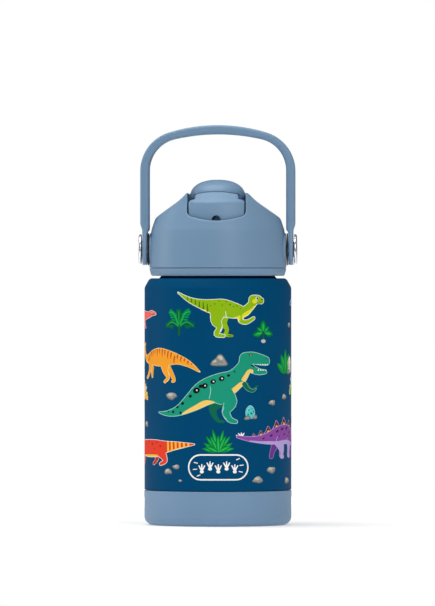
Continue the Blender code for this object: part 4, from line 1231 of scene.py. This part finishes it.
def badge():
    """White pill frame round a row of three-toed footprints, with short rays at its ends."""
    d = Drawing().add("white", pill(15.4, 6.5)).add(None, pill(14.65, 5.75))
    for step in range(5):
        x = -8.2 + 4.1 * step
        y = 0.7 if step % 2 else -0.7
        d.add("white", oval(x, y - 1.5, 1, 0.8))
        for turn in (-34, 0, 34):
            a = math.radians(90 + turn)
            toe = (x + 2.6 * math.cos(a), y - 1.2 + 3.2 * math.sin(a))
            d.add("white", limb((x, y - 1.2, 0.42), (*toe, 0.3), steps=2))
    for side in (1, -1):
        for turn in (-26, 0, 26):
            a = math.radians(turn + (8 if side > 0 else -8))
            inner, outer = (10.7, 12.5)
            ends = [(side * (r * math.cos(a) + 0.2), r * math.sin(a) * 0.62) for r in (inner, outer)]
            d.add("white", limb((*ends[0], 0.22), (*ends[1], 0.22), steps=1))
    return d


def prints():
    """The layout round the flask: angle in degrees from the front, height in millimetres."""
    show = print_on_flask
    show("lime_runner", runner("lime", "white", "yellow", "olive"), 2.8, 104.9, 0.97)
    show("teal_hunter", hunter("teal", "mint", "sand", "black", "deep_teal"), -1.4, 68.8, 1, 0.95)
    show("orange_duckbill", duckbill("orange", "cream", "amber", "rust"), -47.9, 80.4, 1, 0.84)
    show("red_strider", strider("red", "white", "gold", "brick", "brick"), -66.3, 37.6, 1.05, 0.81)
    show("purple_plated", plated("purple", "lavender", "lavender", "plum", "violet", "maroon", "gold"), 56.3,
        43.2, 1.1, 0.77)
    show("coral_strider", strider("coral", "white", "peach", "rust", "rust"), -102.5, 103.2, 0.95, 0.62,
        flip=True)
    show("yellow_horned", horned("gold", "cream", "amber", "rust"), -96.3, 64.7, 0.8)
    show("sky_longneck", longneck("sky", "white", "aqua", "violet"), 113, 103, 0.8, flip=True)
    show("red_runner", runner("red", "cream", "peach", "brick"), 179, 102, 0.8)
    show("lime_horned", horned("lime", "white", "yellow", "olive"), 107, 68, flip=True)
    show("violet_hunter", hunter("purple", "lavender", "peach", "plum", "violet"), 175, 64, 0.9, flip=True)
    show("orange_plated", plated("orange", "cream", "amber", "rust", "rust", "brick", "gold"), 143, 35, 0.85)
    show("green_longneck", longneck("leaf", "mint", "yellow", "forest"), -152, 34, 0.72)
    show("fern_front", fern(), -31.3, 98.2)
    show("sprout_front", sprout(), 38.3, 95.8, 1.12)
    show("agave_front", agave(), 0.6, 41.8)
    show("tuft_right", tuft(), 67, 81.1, 1.2)
    show("egg_right", egg("white", "pale_stone", "cream"), 76.6, 79.6)
    show("egg_front", egg("aqua", "leaf", "mint"), 26.3, 56.4, 0.8)
    show("boulder_front", boulder(), 1.7, 82.2)
    show("fern_left", fern(), -113, 84, 0.9)
    show("tuft_back", tuft(), 123, 85)
    show("agave_back", agave(), -165, 42.5, 0.9)
    show("sprout_back", sprout(), -149, 85)
    show("fern_back", fern(), 137, 54, 0.9)
    show("egg_back", egg("amber", "rust", "cream"), -132, 79, 0.9)
    pebbles = ((-38.6, 64.2, 1.1), (64.4, 63.7, 0.8), (47.7, 60.9, 0.8), (75.8, 99.2, 0.8), (-42, 26.9, 0.85),
        (-34, 29.3, 0.7), (-30.2, 22.6, 0.35), (33.2, 22.8, 1), (46.8, 27.6, 1), (69.8, 22.1, 0.95),
        (-75, 50, 0.9), (-128, 62, 1), (-118, 50, 0.8), (92, 52, 0.9), (104, 86, 0.8), (170, 84, 0.9),
        (-108, 26, 0.9), (-93, 78, 0.6), (174, 23, 0.8), (-165, 22.5, 0.8), (96, 24.5, 0.8))
    for number, (angle, height, scale) in enumerate(pebbles):
        show(f"stone_{number}", stone(number), angle, height, scale)
    show("badge", badge(), 0.7, 29.4)


# ---------------------------------------------------------------- all of it

stand_camera()
studio()
flask_wall()
steel_liner()
boot()
moulded_piece("lid_shell", "lid", "lid_cover", lid_field)
lid_liner()
moulded_piece("spout", "spout", "spout_body", spout_field, 0.35, 0.4)
moulded_piece("thumb_hood", "spout", "spout_hood", hood_field, 0.3, 0.4)
handle()
for side_word, side_sign in (("left", -1), ("right", 1)):
    pivot(side_word, side_sign)
inner_parts()
refinish_small_parts()
prints()
